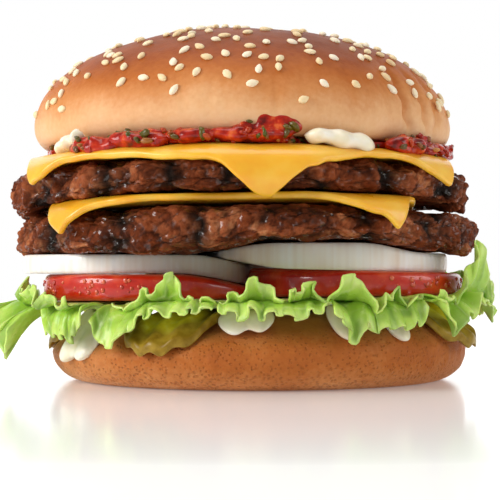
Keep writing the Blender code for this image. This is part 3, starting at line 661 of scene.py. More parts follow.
def sesame_seeds():
    """All the seeds as one piece, each of its own size, tilt and tone."""
    draw = random.Random(5)
    pattern = seed_pattern()
    copies = []
    for place in seed_places():
        dip = Matrix.Rotation(math.radians(draw.uniform(-9.0, 9.0)), 4, "Y")
        size = Matrix.Diagonal(
            (draw.uniform(0.84, 1.1), draw.uniform(0.88, 1.1), draw.uniform(0.85, 1.1), 1.0)
        )
        copies.append((pattern, crown_frame(*place) @ dip @ size, draw.uniform(0.45, 1.0)))
    return scattered("sesame_seeds", sesame_seed(), "tone", copies)


def heel_swell(angle):
    return 1.0 + 0.012 * ripple(angle, 5)


def heel_lean(x, height):
    """How far the heel's left-to-right slope moves a point: not at the foot, and in full on top."""
    return HEEL_SLOPE * x * smooth(HEEL_WIDEST * 0.4, HEEL_HEIGHT, height)


def heel_top(x, y):
    """The height at which a thing rests on the heel: the cut face, the shoulder, then a straight fall."""
    radius = math.hypot(x, y) / heel_swell(math.atan2(y, x))
    width = HEEL_RADIUS - HEEL_FLAT_RADIUS
    steepest = 0.83
    share = max(0.0, radius - HEEL_FLAT_RADIUS) / width
    rounded = min(share, steepest)
    height = HEEL_WIDEST + (HEEL_HEIGHT - HEEL_WIDEST) * math.sqrt(1.0 - rounded * rounded)
    height += heel_lean(x, height)
    return height - SHOULDER_FALL * width * max(0.0, share - steepest)


def heel(look):
    """The bun's heel: a flat foot, a rounded side and a soft shoulder, with open pores in its side, painted
    paler on its left as painted light.
    """

    def place(angle, tilt, _):
        share = abs(tilt) / (math.pi / 2.0)
        turn = min(1.0, share / 0.7) * math.pi / 2.0
        inward = max(0.0, share - 0.7) / 0.3
        if tilt > 0.0:
            wide, narrow, reach = HEEL_RADIUS, HEEL_FLAT_RADIUS, HEEL_HEIGHT - HEEL_WIDEST
            out = narrow + (wide - narrow) * math.cos(turn)
            height = HEEL_WIDEST + reach * math.sin(turn)
        else:
            out = HEEL_FOOT_RADIUS + (HEEL_RADIUS - HEEL_FOOT_RADIUS) * math.cos(turn)
            height = HEEL_WIDEST * (1.0 - math.sin(turn))
        out *= (1.0 - inward) * heel_swell(angle)
        side = math.cos(turn)
        spot = at_angle((0.0, 0.0), angle, out, height)
        out += (0.22 * lumps(spot, 3.2 * MM, 8) + 0.12 * lumps(spot, 1.5 * MM, 9)) * side * MM
        spot = at_angle((0.0, 0.0), angle, out, height)
        spot.z += heel_lean(spot.x, height)
        if tilt > 0.0:
            spot.z += HEEL_CRUMB_RISE * smooth(*HEEL_CRUMB_EDGES, out)
        toast = 0.3 + 0.32 * bump(height, 9.0 * MM, 9.0 * MM) * side**0.5
        # Painted light: the heel is made paler towards its left, the side the stronger softbox faces.
        toast -= 0.16 * smooth(-20.0 * MM, -60.0 * MM, spot.x)
        coarse = 0.5 + 0.5 * lumps(spot, 2.6 * MM, 19)
        pore = 0.55 + 0.7 * smooth(9.0 * MM, 1.0 * MM, height) * coarse
        pore *= smooth(19.0 * MM, 13.0 * MM, height)
        return spot, toast + 0.05 * ripple(angle, 43, 3.0), pore

    shape = placed_sphere(420, 110, ("toast", "pore"), place)
    return finish_piece(shape, "heel", look, ("bun_heel",))


# Patties and cheese


class Patty:
    """A grilled patty: an uneven disc whose faces arch over what lies under them."""

    def __init__(self, name, centre, radii, seed, bars, faces, crag):
        self.name = name
        self.crag = crag
        self.centre = Vector(centre) * MM
        self.radii = Vector(radii) * MM
        self.seed = seed
        self.bars = bars
        self.bottom_at, self.top_at = faces

    def rim(self, angle):
        """The outline's distance from the centre: an ellipse with wide lobes."""
        wide, deep = self.radii
        plain = wide * deep / math.hypot(deep * math.cos(angle), wide * math.sin(angle))
        lobes = 1.6 * ripple(angle, self.seed, 1.6) + 0.9 * ripple(angle, self.seed + 1, 4.0)
        return plain + lobes * MM

    def point(self, angle, tilt, proud=0.0):
        """A point on the plain outside, proud of it by a length."""
        radius, up, facing = slab_edge(tilt, self.rim(angle), PATTY_SHOULDER if tilt > 0.0 else PATTY_FOOT)
        spot = at_angle(self.centre, angle, radius + proud * math.cos(facing), 0.0)
        low, high = self.bottom_at(spot.x), self.top_at(spot.x)
        spot.z = (low + high) / 2.0 + up * (high - low) / 2.0 + proud * math.sin(facing)
        return spot

    def crumbs(self, spot, size, seed):
        """A crumb's height, 0 in the gaps and 1 on its middle, and a number from 0 to 1 that is its own."""
        warp = noise.noise_vector(spot / (size * 0.8) + Vector((seed, 2.0, 5.0))) * 0.35
        distances, centres = noise.voronoi(spot / size + warp + Vector((seed * 2.3, 1.0, 3.0)))
        height = min(1.0, (distances[1] - distances[0]) / 0.55) ** 0.6
        return height, 0.5 + 0.5 * noise.cell(centres[0] * 13.7)

    def lumped(self, angle, tilt, _):
        """A point on the lumpy, crumbly outside, how deep it lies (used for painted shade), its crumb's tone
        and its char.
        """
        spot = self.point(angle, tilt)
        side = max(0.0, math.cos(tilt))
        fade = side ** (4.0 if tilt > 0.0 else 1.5)
        broad = 2.4 * fade * (lumps(spot, PATTY_LUMP, self.seed) - 0.3)
        ragged = 2.6 * lumps(spot, 4.0 * MM, self.seed + 6)
        char = max(bump(spot.x / MM + ragged, bar, 3.6) for bar in self.bars)
        char *= smooth(-0.5, 0.0, lumps(spot, 7.0 * MM, self.seed + 8))
        lobe = lumps(Vector((spot.x, spot.y, spot.z * 0.6)), 6.5 * MM, self.seed + 3)
        large, tone = self.crumbs(spot, 5.2 * MM, self.seed)
        small, other = self.crumbs(spot, 2.3 * MM, self.seed + 4)
        fine = lumps(spot, 1.0 * MM, self.seed + 2)
        crumbly = 0.8 * (large - 0.65) + 0.7 * (small - 0.6) + 0.4 * fine
        craggy = self.crag[1] * bump(turn_between(math.degrees(angle), self.crag[0]), 0.0, 13.0)
        craggy *= 0.3 + 1.1 * lumps(spot, 3.4 * MM, self.seed + 11)
        proud = broad + side * (1.8 * (lobe - 0.25) - 0.9 * char + crumbly + craggy)
        # Painted shade: how deep a point lies in the gaps between crumbs and lobes, which darkens its
        # colour.
        depth = 0.45 * (1.0 - smooth(0.1, 0.5, large)) + 0.3 * (1.0 - smooth(0.1, 0.4, small))
        depth += 0.5 * smooth(0.1, -0.5, lobe)
        return self.point(angle, tilt, proud * MM), min(0.85, depth), 0.5 * tone + 0.22 * other, char

    def build(self, look):
        shape = placed_sphere(640, 96, ("depth", "crumb", "char"), self.lumped)
        return finish_piece(shape, self.name, look, ("patty_" + self.name.split("_")[0],))

    def draped(self, angle, length, proud):
        """Where a soft sheet's point lies when the sheet is laid over the patty, length from its middle."""
        before = self.point(angle, math.pi / 2.0, proud)
        run = 0.0
        steps = 90
        for step in range(1, steps + 1):
            tilt = math.radians(90.0 - step * 125.0 / steps)
            here = self.point(angle, tilt, proud)
            stride = (here - before).length
            if run + stride >= length:
                return before.lerp(here, (length - run) / stride)
            run += stride
            before = here
        return before


def arch(height, fall, middle=-3.0, tip=0.0):
    """A face's height across the burger: highest over the middle, falling to both sides and at the tips."""

    def at(x):
        away = x / MM - middle
        droop = tip * max(0.0, away - 48.0, -away - 58.0) ** 2
        return (height - fall * away * away - droop) * MM

    return at


def lower_patty_bottom(x):
    """The lower patty's underside, which rides up over the right-hand onion slice."""
    return (34.7 + 3.2 * smooth(-18.0, 4.0, x / MM) - 2.5 * smooth(26.0, 42.0, x / MM)) * MM


LOWER_PATTY = Patty(
    "lower_patty", (-3.8, 0.0), (65.0, 62.0), 3, (-36.5, -15.0, 2.2, 26.7, 46.3, -56.0),
    (lower_patty_bottom, arch(47.1, 0.00045, 3.0)), (187.0, 2.2),
)
UPPER_PATTY = Patty(
    "upper_patty", (-6.1, 0.0), (64.8, 61.5), 9, (-39.5, -23.0, -7.6, 14.4, 32.8, 50.0, -58.0),
    (arch(50.3, 0.0009, 1.0, 0.015), arch(59.1, 0.0004)), (-9.0, 3.0),
)


def cheese_outline(corners, bows):
    """A slice's place(across, along) in the flat: four corners, each side bowed out by a length."""

    def place(across, along):
        low = corners[0].lerp(corners[1], across)
        high = corners[3].lerp(corners[2], across)
        left = corners[0].lerp(corners[3], along)
        right = corners[1].lerp(corners[2], along)
        spot = low.lerp(high, along)
        middle = sum(corners, Vector((0.0, 0.0))) / 4.0
        for side, share, bow, other in (
            (low, across, bows[0], 1.0 - along), (right, along, bows[1], across),
            (high, across, bows[2], along), (left, along, bows[3], 1.0 - across),
        ):
            outward = (side - middle).normalized()
            spot = spot + outward * bow * math.sin(math.pi * share) * other
        return spot

    return place


def slice_corners(middle, side, turn):
    """A square's corners in the flat, counter-clockwise from the one nearest the front left."""
    turned = Matrix.Rotation(math.radians(turn), 2)
    ways = ((-1, -1), (1, -1), (1, 1), (-1, 1))
    return [Vector(middle) + turned @ Vector((x * side / 2.0, y * side / 2.0)) for x, y in ways]


def crowded_out(share):
    """Moves a share of a side outwards, so that a sheet has its narrow cells where it folds over the rim."""
    away = 2.0 * share - 1.0
    return 0.5 + 0.5 * math.copysign(abs(away) ** 0.65, away)


def cheese(name, patty, flat, spring, look, replaced):
    """A slice of cheese laid over a patty, its free corners folded down over the side."""
    lying = GAP + CHEESE_THICKNESS / 2.0 + 0.1 * MM
    hanging = lying + spring * MM

    def place(across, along):
        across, along = (crowded_out(share) for share in (across, along))
        spot = flat(across, along)
        angle = math.atan2(spot.y, spot.x)
        hang = smooth(50.0 * MM, 59.0 * MM, spot.length)
        flow = (3.2 * ripple(angle, 13, 6.0) + 1.0 * ripple(angle, 14, 15.0)) * MM * hang
        return (patty.draped(angle, spot.length + flow, lying + (hanging - lying) * hang),)

    shape = placed_sheet(56, 56, (), place)
    piece = finish_piece(shape, name, look, (replaced,))
    thicken(piece, CHEESE_THICKNESS)
    soften(piece)
    return piece


def cheese_slices(look):
    """The softened upper slice with three hanging corners, and the square lower slice with two."""
    corners = [
        Vector(
            (math.cos(math.radians(angle)), math.sin(math.radians(angle)))
        ) * reach * MM for angle, reach in ((216.0, 69.5), (278.0, 75.0), (327.0, 70.5), (97.0, 66.0))
    ]
    flat = cheese_outline(corners, (1.2 * MM, -4.0 * MM, 12.0 * MM, 14.0 * MM))
    cheese("upper_cheese", UPPER_PATTY, flat, 1.1, look, "cheese_upper")
    middle = (-1.5 * MM, -7.5 * MM)
    flat = cheese_outline(slice_corners(middle, CHEESE_SIDE + 7.0 * MM, -4.3), (1.5 * MM,) * 4)
    cheese("lower_cheese", LOWER_PATTY, flat, 1.05, look, "cheese_lower")


# Sauces


def upper_dollops():
    """Mayonnaise squeezed out under the crown: angle, radius, height, half sizes round, out and up, lean."""
    return {
        "mayonnaise_upper_right": (-65.0, 58.4, 63.2, (9.8, 3.6, 2.2), -1.2),
        "mayonnaise_upper_left": (221.5, 58.5, 63.6, (5.4, 3.6, 2.2), 2.0),
    }


def relish_rim(angle):
    """The relish's outline, which stops short where mayonnaise takes its place."""
    room = 0.0
    for around, _, _, half, _ in upper_dollops().values():
        room = max(room, bump(turn_between(math.degrees(angle), around), 0.0, half[0] * 1.25))
    ends = (3.0 - 1.5 * math.cos(angle)) * math.cos(angle) ** 4
    spread = 59.5 * MM + 2.2 * MM * ripple(angle, 21, 3.0) + 1.2 * MM * ripple(angle, 22, 7.0)
    return spread - ends * MM - 12.0 * MM * room


def crown_edge(angle, radius):
    """The height of the crown's lower side at a distance from its middle."""
    share = (radius / crown_rim(angle) * CROWN_FACET - CROWN_MOUTH) / (1.0 - CROWN_MOUTH)
    rounded = math.sqrt(1.0 - min(1.0, max(0.0, share)) ** 2)
    return CROWN_WIDEST - (CROWN_WIDEST - CROWN_UNDERSIDE) * rounded


def relish_point(angle, tilt):
    """A point on the relish, lumpy with pulp round its side."""
    radius, up, facing = slab_edge(tilt, relish_rim(angle), RELISH_CORNER)
    plain = at_angle(CROWN_CENTRE, angle, radius, 0.0)
    pulp = Vector((plain.x, plain.y, up * 2.0 * MM))
    radius += math.cos(facing) * (1.2 * lumps(pulp, 3.0 * MM, 23) + 0.3 * lumps(pulp, 1.2 * MM, 24)) * MM
    spot = at_angle(CROWN_CENTRE, angle, radius, 0.0)
    low = UPPER_PATTY.top_at(spot.x) + CHEESE_THICKNESS + 4.0 * GAP
    high = CROWN_UNDERSIDE - GAP
    spot.z = (low + high) / 2.0 + up * (high - low) / 2.0
    swell = (
        RELISH_SWELL + 0.9 * MM * lumps(pulp, 3.4 * MM, 25)
    ) * smooth(0.9, 1.0, radius / relish_rim(angle))
    spot.z += swell * (1.0 + up) / 2.0
    spot.z = min(spot.z, crown_edge(angle, radius) - 2.0 * GAP)
    return spot


def relish(look):
    """The chunky red relish between the upper cheese and the crown."""
    shape = placed_sphere(420, 40, (), lambda angle, tilt, _: (relish_point(angle, tilt),))
    return finish_piece(shape, "relish_sauce", look, ("relish",))


def relish_runs():
    """Relish that ran over the cheese or was smeared on the crown: angle, radius, height and half sizes."""
    return (
        (231.0, 60.0, 61.8, (9.0, 3.2, 2.6)), (244.0, 60.0, 63.2, (9.0, 3.0, 2.2)),
        (257.0, 59.0, 63.8, (7.0, 2.6, 1.9)), (277.0, 58.0, 66.0, (8.0, 0.8, 3.0)),
        (271.0, 58.6, 64.2, (10.0, 2.4, 1.7)), (316.0, 59.0, 62.6, (8.0, 3.0, 2.4)),
        (331.0, 58.4, 61.6, (8.0, 3.0, 2.6)), (20.0, 59.5, 62.4, (7.0, 3.0, 2.2)),
        (120.0, 60.5, 63.0, (8.0, 3.0, 2.4)),
    )


def run_point(around, radius, height, half, way):
    """A point on one of those runs, way being a direction from its middle: outwards, sideways, up."""
    out, side, up = way
    turn = math.radians(around) + side * half[0] / radius
    return at_angle(CROWN_CENTRE, turn, (radius + out * half[1]) * MM, (height + up * half[2]) * MM)


def relish_drips(look):
    """Each run of relish as a lumpy drop."""
    for number, (around, radius, height, half) in enumerate(relish_runs()):

        def place(angle, tilt, way):
            out, side, up = way
            turn = math.radians(around) + side * half[0] / radius
            spot = run_point(around, radius, height, half, way)
            pulp = 1.5 * lumps(spot, 4.2 * MM, 60) + 0.35 * lumps(spot, 1.6 * MM, 61)
            return (spot + Vector((out * math.cos(turn), out * math.sin(turn), 0.8 * up)) * pulp * MM,)

        shape = placed_sphere(72, 40, (), place)
        finish_piece(shape, "relish_drip_%d" % number, look)


def bit_pattern(seed):
    """One diced bit of vegetable with a rough outline."""
    shape = bmesh.new()
    bmesh.ops.create_uvsphere(shape, u_segments=8, v_segments=5, radius=1.0)
    shape.verts.layers.float.new("kind")
    for vert in shape.verts:
        vert.co *= 1.0 + 0.4 * noise.noise(vert.co * 1.2 + Vector((seed * 9.0, 0.0, 0.0)))
    return kept_mesh(shape)


def relish_bits():
    """Diced tomato, pickle and pepper that stick out of the relish's side."""
    draw = random.Random(8)
    patterns = [bit_pattern(seed) for seed in range(6)]
    copies = []
    for number in range(RELISH_BITS):
        angle = draw.uniform(-math.pi, math.pi)
        spot = relish_point(angle, math.radians(draw.uniform(-35.0, 45.0)))
        turn = Matrix.Rotation(draw.uniform(0.0, math.pi), 4, Vector((draw.random(), draw.random(), 1.0)))
        size = draw.uniform(0.6, 1.3) * MM
        stretch = Matrix.Diagonal((size, size * draw.uniform(0.6, 1.0), size * draw.uniform(0.45, 0.8), 1.0))
        matrix = Matrix.Translation(spot) @ turn @ stretch
        copies.append((patterns[number % len(patterns)], matrix, draw.random()))
    for number, run in enumerate(relish_runs() * 6):
        side, up = draw.uniform(-0.7, 0.7), draw.uniform(-0.5, 0.8)
        out = math.sqrt(max(0.0, 1.0 - side * side - up * up))
        turn = Matrix.Rotation(draw.uniform(0.0, math.pi), 4, Vector((draw.random(), draw.random(), 1.0)))
        size = draw.uniform(0.8, 1.9) * MM
        stretch = Matrix.Diagonal((size, size * draw.uniform(0.5, 0.9), size * 0.45, 1.0))
        matrix = Matrix.Translation(run_point(*run, (out, side, up))) @ turn @ stretch
        copies.append((patterns[number % len(patterns)], matrix, draw.random()))
    look = red_relish("relish vegetables", "kind")
    return scattered("relish_bits", look, "kind", copies)


def drop(name, look, place):
    """A closed drop of mayonnaise whose points come from place(out, side, up), each from -1 to 1."""
    shape = placed_sphere(56, 36, (), lambda angle, tilt, way: (place(*way),))
    return finish_piece(shape, "sauce_" + name, look, (name,))


def upper_dollop(name, around, radius, height, half, lean, look):
    """A drop that squeezes out under the crown."""
    middle = math.radians(around)

    def place(out, side, up):
        angle = middle + side * half[0] / radius
        lobes = (1.0 + 0.5 * side * side) * (1.0 + 0.16 * math.cos(9.0 * side + 0.6))
        away = (radius + out * lobes * half[1]) * MM
        spot = at_angle(CROWN_CENTRE, angle, away, (height + lean * side + up * lobes * half[2]) * MM)
        spot.z += 0.7 * MM * lumps(spot, 4.5 * MM, 51)
        spot.z = min(spot.z, crown_edge(angle, away) - 2.0 * GAP)
        return spot

    return drop(name, look, place)


def lower_dollop(name, around, radius, half, notch, drip, look):
    """A drop that hangs over the heel's shoulder, in two lobes if it is notched, its outer part lowered."""
    middle = math.radians(around)

    def place(out, side, up):
        angle = middle + side * half[0] / radius
        lobes = 1.0 - notch * bump(side, 0.1, 0.3)
        away = (radius + half[1] * (out * lobes - 1.0)) * MM
        spot = at_angle((0.0, 0.0), angle, away, 0.0)
        spot.z = heel_top(spot.x, spot.y) + 2.0 * GAP + (1.0 + up * lobes) * half[2] * MM
        spot.z = min(spot.z, slot_height(0, spot) - LEAF_THICKNESS - 0.5 * max(0.0, away - 52.0 * MM))
        spot.z -= drip * MM * smooth(-0.6, 0.5, out)
        return spot

    return drop(name, look, place)


def mayonnaise(look):
    """The drops under the crown and over the heel: direction, outer radius, half sizes, depth of notch."""
    for name, (around, radius, height, half, lean) in upper_dollops().items():
        upper_dollop(name, around, radius, height, half, lean, look)
    table = {
        "mayonnaise_left": (214.0, 62.0, (9.6, 6.0, 3.9), 0.3, 4.0),
        "mayonnaise_front": (266.0, 58.0, (8.0, 6.5, 2.5), 0.3, 0.0),
        "mayonnaise_front_right": (293.0, 59.0, (4.4, 6.0, 2.8), 0.0, 1.0),
        "mayonnaise_right": (309.5, 59.0, (3.8, 6.0, 2.7), 0.0, 2.0),
        "mayonnaise_back_right": (40.0, 59.0, (9.0, 6.0, 2.8), 0.3, 1.5),
        "mayonnaise_back": (100.0, 59.0, (5.2, 6.0, 3.0), 0.0, 2.0),
        "mayonnaise_back_left": (138.0, 59.5, (7.6, 6.0, 3.2), 0.25, 2.0),
    }
    for name, (around, radius, half, notch, drip) in table.items():
        lower_dollop(name, around, radius, half, notch, drip, look)


# Vegetables


def sloped(height, slope=0.0, origin=0.0, steps=()):
    """A face's height across the burger: given at one place, sloping from there, raised by steps."""

    def at(x):
        stepped = sum(rise * smooth(start, end, x / MM) for rise, start, end in steps)
        return (height + slope * (x / MM - origin) + stepped) * MM

    return at


def slice_point(centre, radius, faces, corner, seed, angle, tilt):
    """A point on a round slice between two faces, its share of the way out and its height share."""
    rim = radius * MM * (1.0 + 0.02 * ripple(angle, seed))
    away, up, _ = slab_edge(tilt, rim, corner)
    spot = at_angle(Vector(centre) * MM, angle, away, 0.0)
    low, high = faces[0](spot.x), faces[1](spot.x)
    spot.z = (low + high) / 2.0 + up * (high - low) / 2.0
    return spot, away / rim, up


def tomato_slice(name, look, centre, radius, faces, corner, seed):
    def place(angle, tilt, _):
        spot, out, up = slice_point(centre, radius, faces, corner, seed, angle, tilt)
        spot.z += 0.18 * MM * lumps(spot, 3.0 * MM, seed) * up * smooth(0.99, 0.9, out)
        return spot, smooth(0.95, 0.985, out)

    shape = placed_sphere(260, 40, ("skin",), place)
    return finish_piece(shape, "slice_" + name, look, (name,))


def onion_slice(name, look, centre, radius, faces, corner, seed):
    def place(angle, tilt, _):
        spot, out, up = slice_point(centre, radius, faces, corner, seed, angle, tilt)
        side = smooth(0.95, 0.99, out)
        rings = 0.5 + 0.5 * math.cos(out * radius / 3.6 * 2.0 * math.pi)
        upright = 0.66 + 0.28 * ripple(angle, seed, 26.0) + 0.12 * ripple(angle, seed + 1, 70.0)
        upright += 0.25 * lumps(spot, 7.0 * MM, seed)
        spot.z -= up * 0.25 * MM * (1.0 - rings) ** 6 * (1.0 - side)
        out_by = 0.18 * MM * ripple(angle, seed, 38.0) * side
        spot += Vector((math.cos(angle), math.sin(angle), 0.0)) * out_by
        return spot, (1.0 - side) * (0.35 + 0.65 * rings) + side * upright

    shape = placed_sphere(420, 40, ("fibre",), place)
    return finish_piece(shape, "slice_" + name, look, (name,))


def slices(tomato, onion):
    """Three tomato slices and three onion slices on them, each right-hand one on its neighbour's edge."""
    tomatoes = {
        "tomato_left": (
            (-27.5, -13.0), 32.0, 31, sloped(22.3, 0.012, -60.0), sloped(29.4, steps=((-4.4, -22.0, 6.0),)),
        ),
        "tomato_right": ((26.0, -15.0), 29.2, 32, sloped(24.0, 0.01, 55.0), sloped(29.7, -0.024, 55.0)),
        "tomato_back": ((2.0, 36.0), 23.0, 35, sloped(23.6, 0.02, 0.0), sloped(29.0)),
    }
    onions = {
        "onion_left": (
            (-34.2, -8.0), 31.6, 33, sloped(29.55, steps=((-4.3, -22.0, 6.0),)),
            sloped(34.8, -0.004, -66.0, ((-2.6, -18.0, 0.0),)),
        ),
        "onion_right": (
            (18.5, -11.0), 33.3, 34, sloped(33.6, -0.022, 12.0, ((-2.9, -16.0, 8.0),)),
            sloped(35.2, steps=((2.4, -18.0, 4.0), (-2.5, 26.0, 44.0))),
        ),
        "onion_back": ((-14.0, 40.0), 19.5, 36, sloped(30.2, 0.05, -5.0), sloped(35.6, 0.06, -5.0)),
    }
    for name, (centre, radius, seed, bottom_at, top_at) in tomatoes.items():
        tomato_slice(name, tomato, centre, radius, (bottom_at, top_at), TOMATO_CORNER, seed)
    for name, (centre, radius, seed, bottom_at, top_at) in onions.items():
        onion_slice(name, onion, centre, radius, (bottom_at, top_at), ONION_CORNER, seed)


def clear_water():
    """Drops of water: thin, so they have the tomato's red, with a bright pin of light on each."""
    made, tree = new_material(
        "water on tomato skin", {"Roughness": 0.06, "IOR": 1.33, "Coat Weight": 1.0, "Coat Roughness": 0.03},
    )
    tone = add(tree, "Attribute", out="Fac", attribute_name="tone")
    through = add(tree, "ValToRGB", links={"Fac": tone}, stops=((0.0, "b5200f"), (1.0, "e2663c")))
    return dressed(made, {"Base Color": through})


def water_drops():
    """Beads of water on the skin of the two front tomato slices."""
    draw = random.Random(3)
    shape = bmesh.new()
    bmesh.ops.create_uvsphere(shape, u_segments=10, v_segments=6, radius=1.0)
    shape.verts.layers.float.new("tone")
    pattern = kept_mesh(shape)
    copies = []
    for centre, radius, seed, low, high, start, end, count in (
        ((-27.5, -13.0), 32.0, 31, 24.6, 27.9, 190.0, 268.0, 34),
        ((26.0, -15.0), 29.2, 32, 26.0, 28.6, 285.0, 352.0, 26),
    ):
        for _ in range(count):
            angle = math.radians(draw.uniform(start, end))
            rim = radius * MM * (1.0 + 0.02 * ripple(angle, seed))
            spot = at_angle(Vector(centre) * MM, angle, rim, draw.uniform(low, high) * MM)
            size = draw.uniform(0.25, 0.75) * MM
            flat = Matrix.Rotation(angle, 4, "Z") @ Matrix.Diagonal((size * 0.55, size, size, 1.0))
            copies.append((pattern, Matrix.Translation(spot) @ flat, draw.random()))
    return scattered("water_drops", clear_water(), "tone", copies)


def pickle(name, around, reach, look):
    """A crinkle-cut pickle slice bent over the heel's shoulder, thicker outwards, its ridges running out."""
    angle = math.radians(around)
    outward = Vector((math.cos(angle), math.sin(angle)))
    sideways = Vector((-outward.y, outward.x))
    rest = 1.5 * GAP + CRINKLE_DEPTH

    def place(turn, tilt, _):
        radius, up, _ = slab_edge(tilt, PICKLE_RADIUS, PICKLE_CORNER)
        away = radius * math.cos(turn)
        side = radius * math.sin(turn)
        spot = outward * (reach * MM + away) + sideways * side
        wave = CRINKLE_DEPTH * math.cos(2.0 * math.pi * side / CRINKLE_PITCH)
        thickness = PICKLE_THICKNESS * (1.0 + 0.05 * away / PICKLE_RADIUS)
        height = heel_top(spot.x, spot.y) + rest + wave + (1.0 + up) * thickness / 2.0
        edge = radius / PICKLE_RADIUS + 0.03 * math.cos(2.0 * math.pi * side / CRINKLE_PITCH)
        rind = smooth(0.66, 0.74, edge)
        return Vector((spot.x, spot.y, height)), rind

    shape = placed_sphere(160, 36, ("rind",), place)
    return finish_piece(shape, "slice_" + name, look, (name,))


def pickles(look):
    for name, around, reach in (
        ("pickle_front", 243.0, 48.5), ("pickle_right", 334.0, 50.5), ("pickle_left", 176.0, 47.5),
    ):
        pickle(name, around, reach, look)


def slot_height(layer, spot):
    """The height at which a leaf is gripped, on a face that leans to the left: layer 0 is under layer 1."""
    return (21.9 + 0.8 * layer) * MM + LEAF_SLOPE * spot.x


class Leaf:
    """A frilled lettuce leaf: gripped flat in the stack, then rising or drooping as it spreads outside it.

    angles is where it starts and ends round the burger, out how far its free edge reaches and lift how far
    that edge is above the grip. Each lobe moves the edge by a further lift, at an angle, over a half width.
    """

    def __init__(self, name, layer, angles, out, lift, lobes, frill, waves, bulge=5.0, mouth=53.0):
        self.name = name
        self.layer = layer
        self.angles = angles
        self.out = out
        self.lift = lift
        self.lobes = lobes
        self.frill = frill
        self.waves = waves
        self.bulge = bulge
        self.mouth = mouth * MM
        self.seed = angles[0] / 10.0

    def edge_lift(self, degrees, across):
        """How far the free edge is above the grip; both ends of the leaf come back towards it."""
        ends = smooth(0.0, 0.12, across) * smooth(0.0, 0.12, 1.0 - across)
        lobes = sum(rise * bump(degrees, around, width) for around, rise, width in self.lobes)
        uneven = 0.8 * noise.noise(Vector((degrees / 7.0, self.seed, 3.0)))
        return (self.lift * (0.35 + 0.65 * ends) + lobes + uneven) * MM

    def point(self, across, along):
        """A point on the leaf's middle surface, along being 0 at its root and 1 at its frilled edge."""
        degrees = self.angles[0] + (self.angles[1] - self.angles[0]) * across
        angle = math.radians(degrees)
        lift = self.edge_lift(degrees, across)
        reach = self.out * MM + 1.2 * MM * noise.noise(Vector((degrees / 9.0, self.seed, 8.0)))
        share = max(0.0, (along - LEAF_HELD) / (1.0 - LEAF_HELD))
        teeth = noise.noise(Vector((degrees / 3.4, self.seed, 5.0)))
        teeth += 0.3 * noise.noise(Vector((degrees, self.seed, 6.0)))
        reach += 1.2 * MM * teeth * share**3
        if share == 0.0:
            radius, height = LEAF_ROOT + (self.mouth - LEAF_ROOT) * along / LEAF_HELD, 0.0
        else:
            swell = 2.0 * share * (1.0 - share)
            radius = self.mouth + swell * self.bulge * MM + share * share * (reach - self.mouth)
            height = swell * 0.12 * lift + share * share * lift
            closer = 1.0 + 0.9 * noise.noise(Vector((degrees / 6.0, self.seed, 15.0)))
            height += LEAF_CLOSER[self.layer] * swell * closer * smooth(0.0, 0.3, share)
        swing = self.frill * MM * share**1.5 * min(1.0, 8.0 * across, 8.0 * (1.0 - across))
        phase = 2.0 * math.pi * self.waves * across
        phase += 1.5 * noise.noise(Vector((across * 4.0, self.seed, 1.0)))
        lean = math.atan2(lift, reach - self.mouth)
        wave = swing * math.sin(phase)
        crinkle = noise.noise(Vector((degrees / 3.4, share * 2.2, self.seed)))
        crinkle += 0.5 * noise.noise(Vector((degrees / 1.5, share * 5.0, self.seed + 4.0)))
        wave += 0.9 * MM * crinkle * smooth(0.1, 1.0, share)
        turn = 2.0 * math.pi * degrees / 4.6 + 5.0 * noise.noise(Vector((degrees / 9.0, self.seed, 2.0)))
        ruffle = 0.9 + 0.8 * noise.noise(Vector((degrees / 5.0, self.seed, 12.0)))
        ruffle *= (0.85 + 0.15 * self.frill) * MM * share**3
        wave += ruffle * math.sin(turn)
        radius -= 0.7 * wave * math.sin(lean)
        height += wave * max(0.35, math.cos(lean))
        sideways = 0.45 * swing * math.sin(2.0 * phase + 0.6) - 0.5 * ruffle * math.sin(2.0 * turn)
        angle += sideways / reach
        spot = at_angle((0.0, 0.0), angle, radius, 0.0)
        spot.z = slot_height(self.layer, spot) + height
        rib = noise.noise(Vector((degrees / 6.0, along * 2.4, self.seed + 9.0)))
        twig = noise.noise(Vector((degrees / 2.2, along * 6.0, self.seed + 7.0)))
        vein = 0.6 * max(0.0, 1.0 - abs(rib) / 0.07) + 0.3 * max(0.0, 1.0 - abs(twig) / 0.06)
        vein = min(1.0, vein) * (1.0 - 0.6 * share)
        # Painted shade in the troughs of the crinkles, none at the grip and weaker towards the frilled edge.
        fold = 0.8 * smooth(0.1, -0.55, crinkle) * (1.0 - 0.4 * share) * smooth(0.0, 0.2, share)
        return spot, share, vein, min(1.0, fold)

    def build(self, look):
        columns = max(24, round((self.angles[1] - self.angles[0]) * 2.0))
        shape = placed_sheet(columns, 44, ("along", "vein", "fold"), self.point)
        piece = finish_piece(shape, "leaf_" + self.name, look, (self.name,))
        thicken(piece, LEAF_THICKNESS)
        return piece


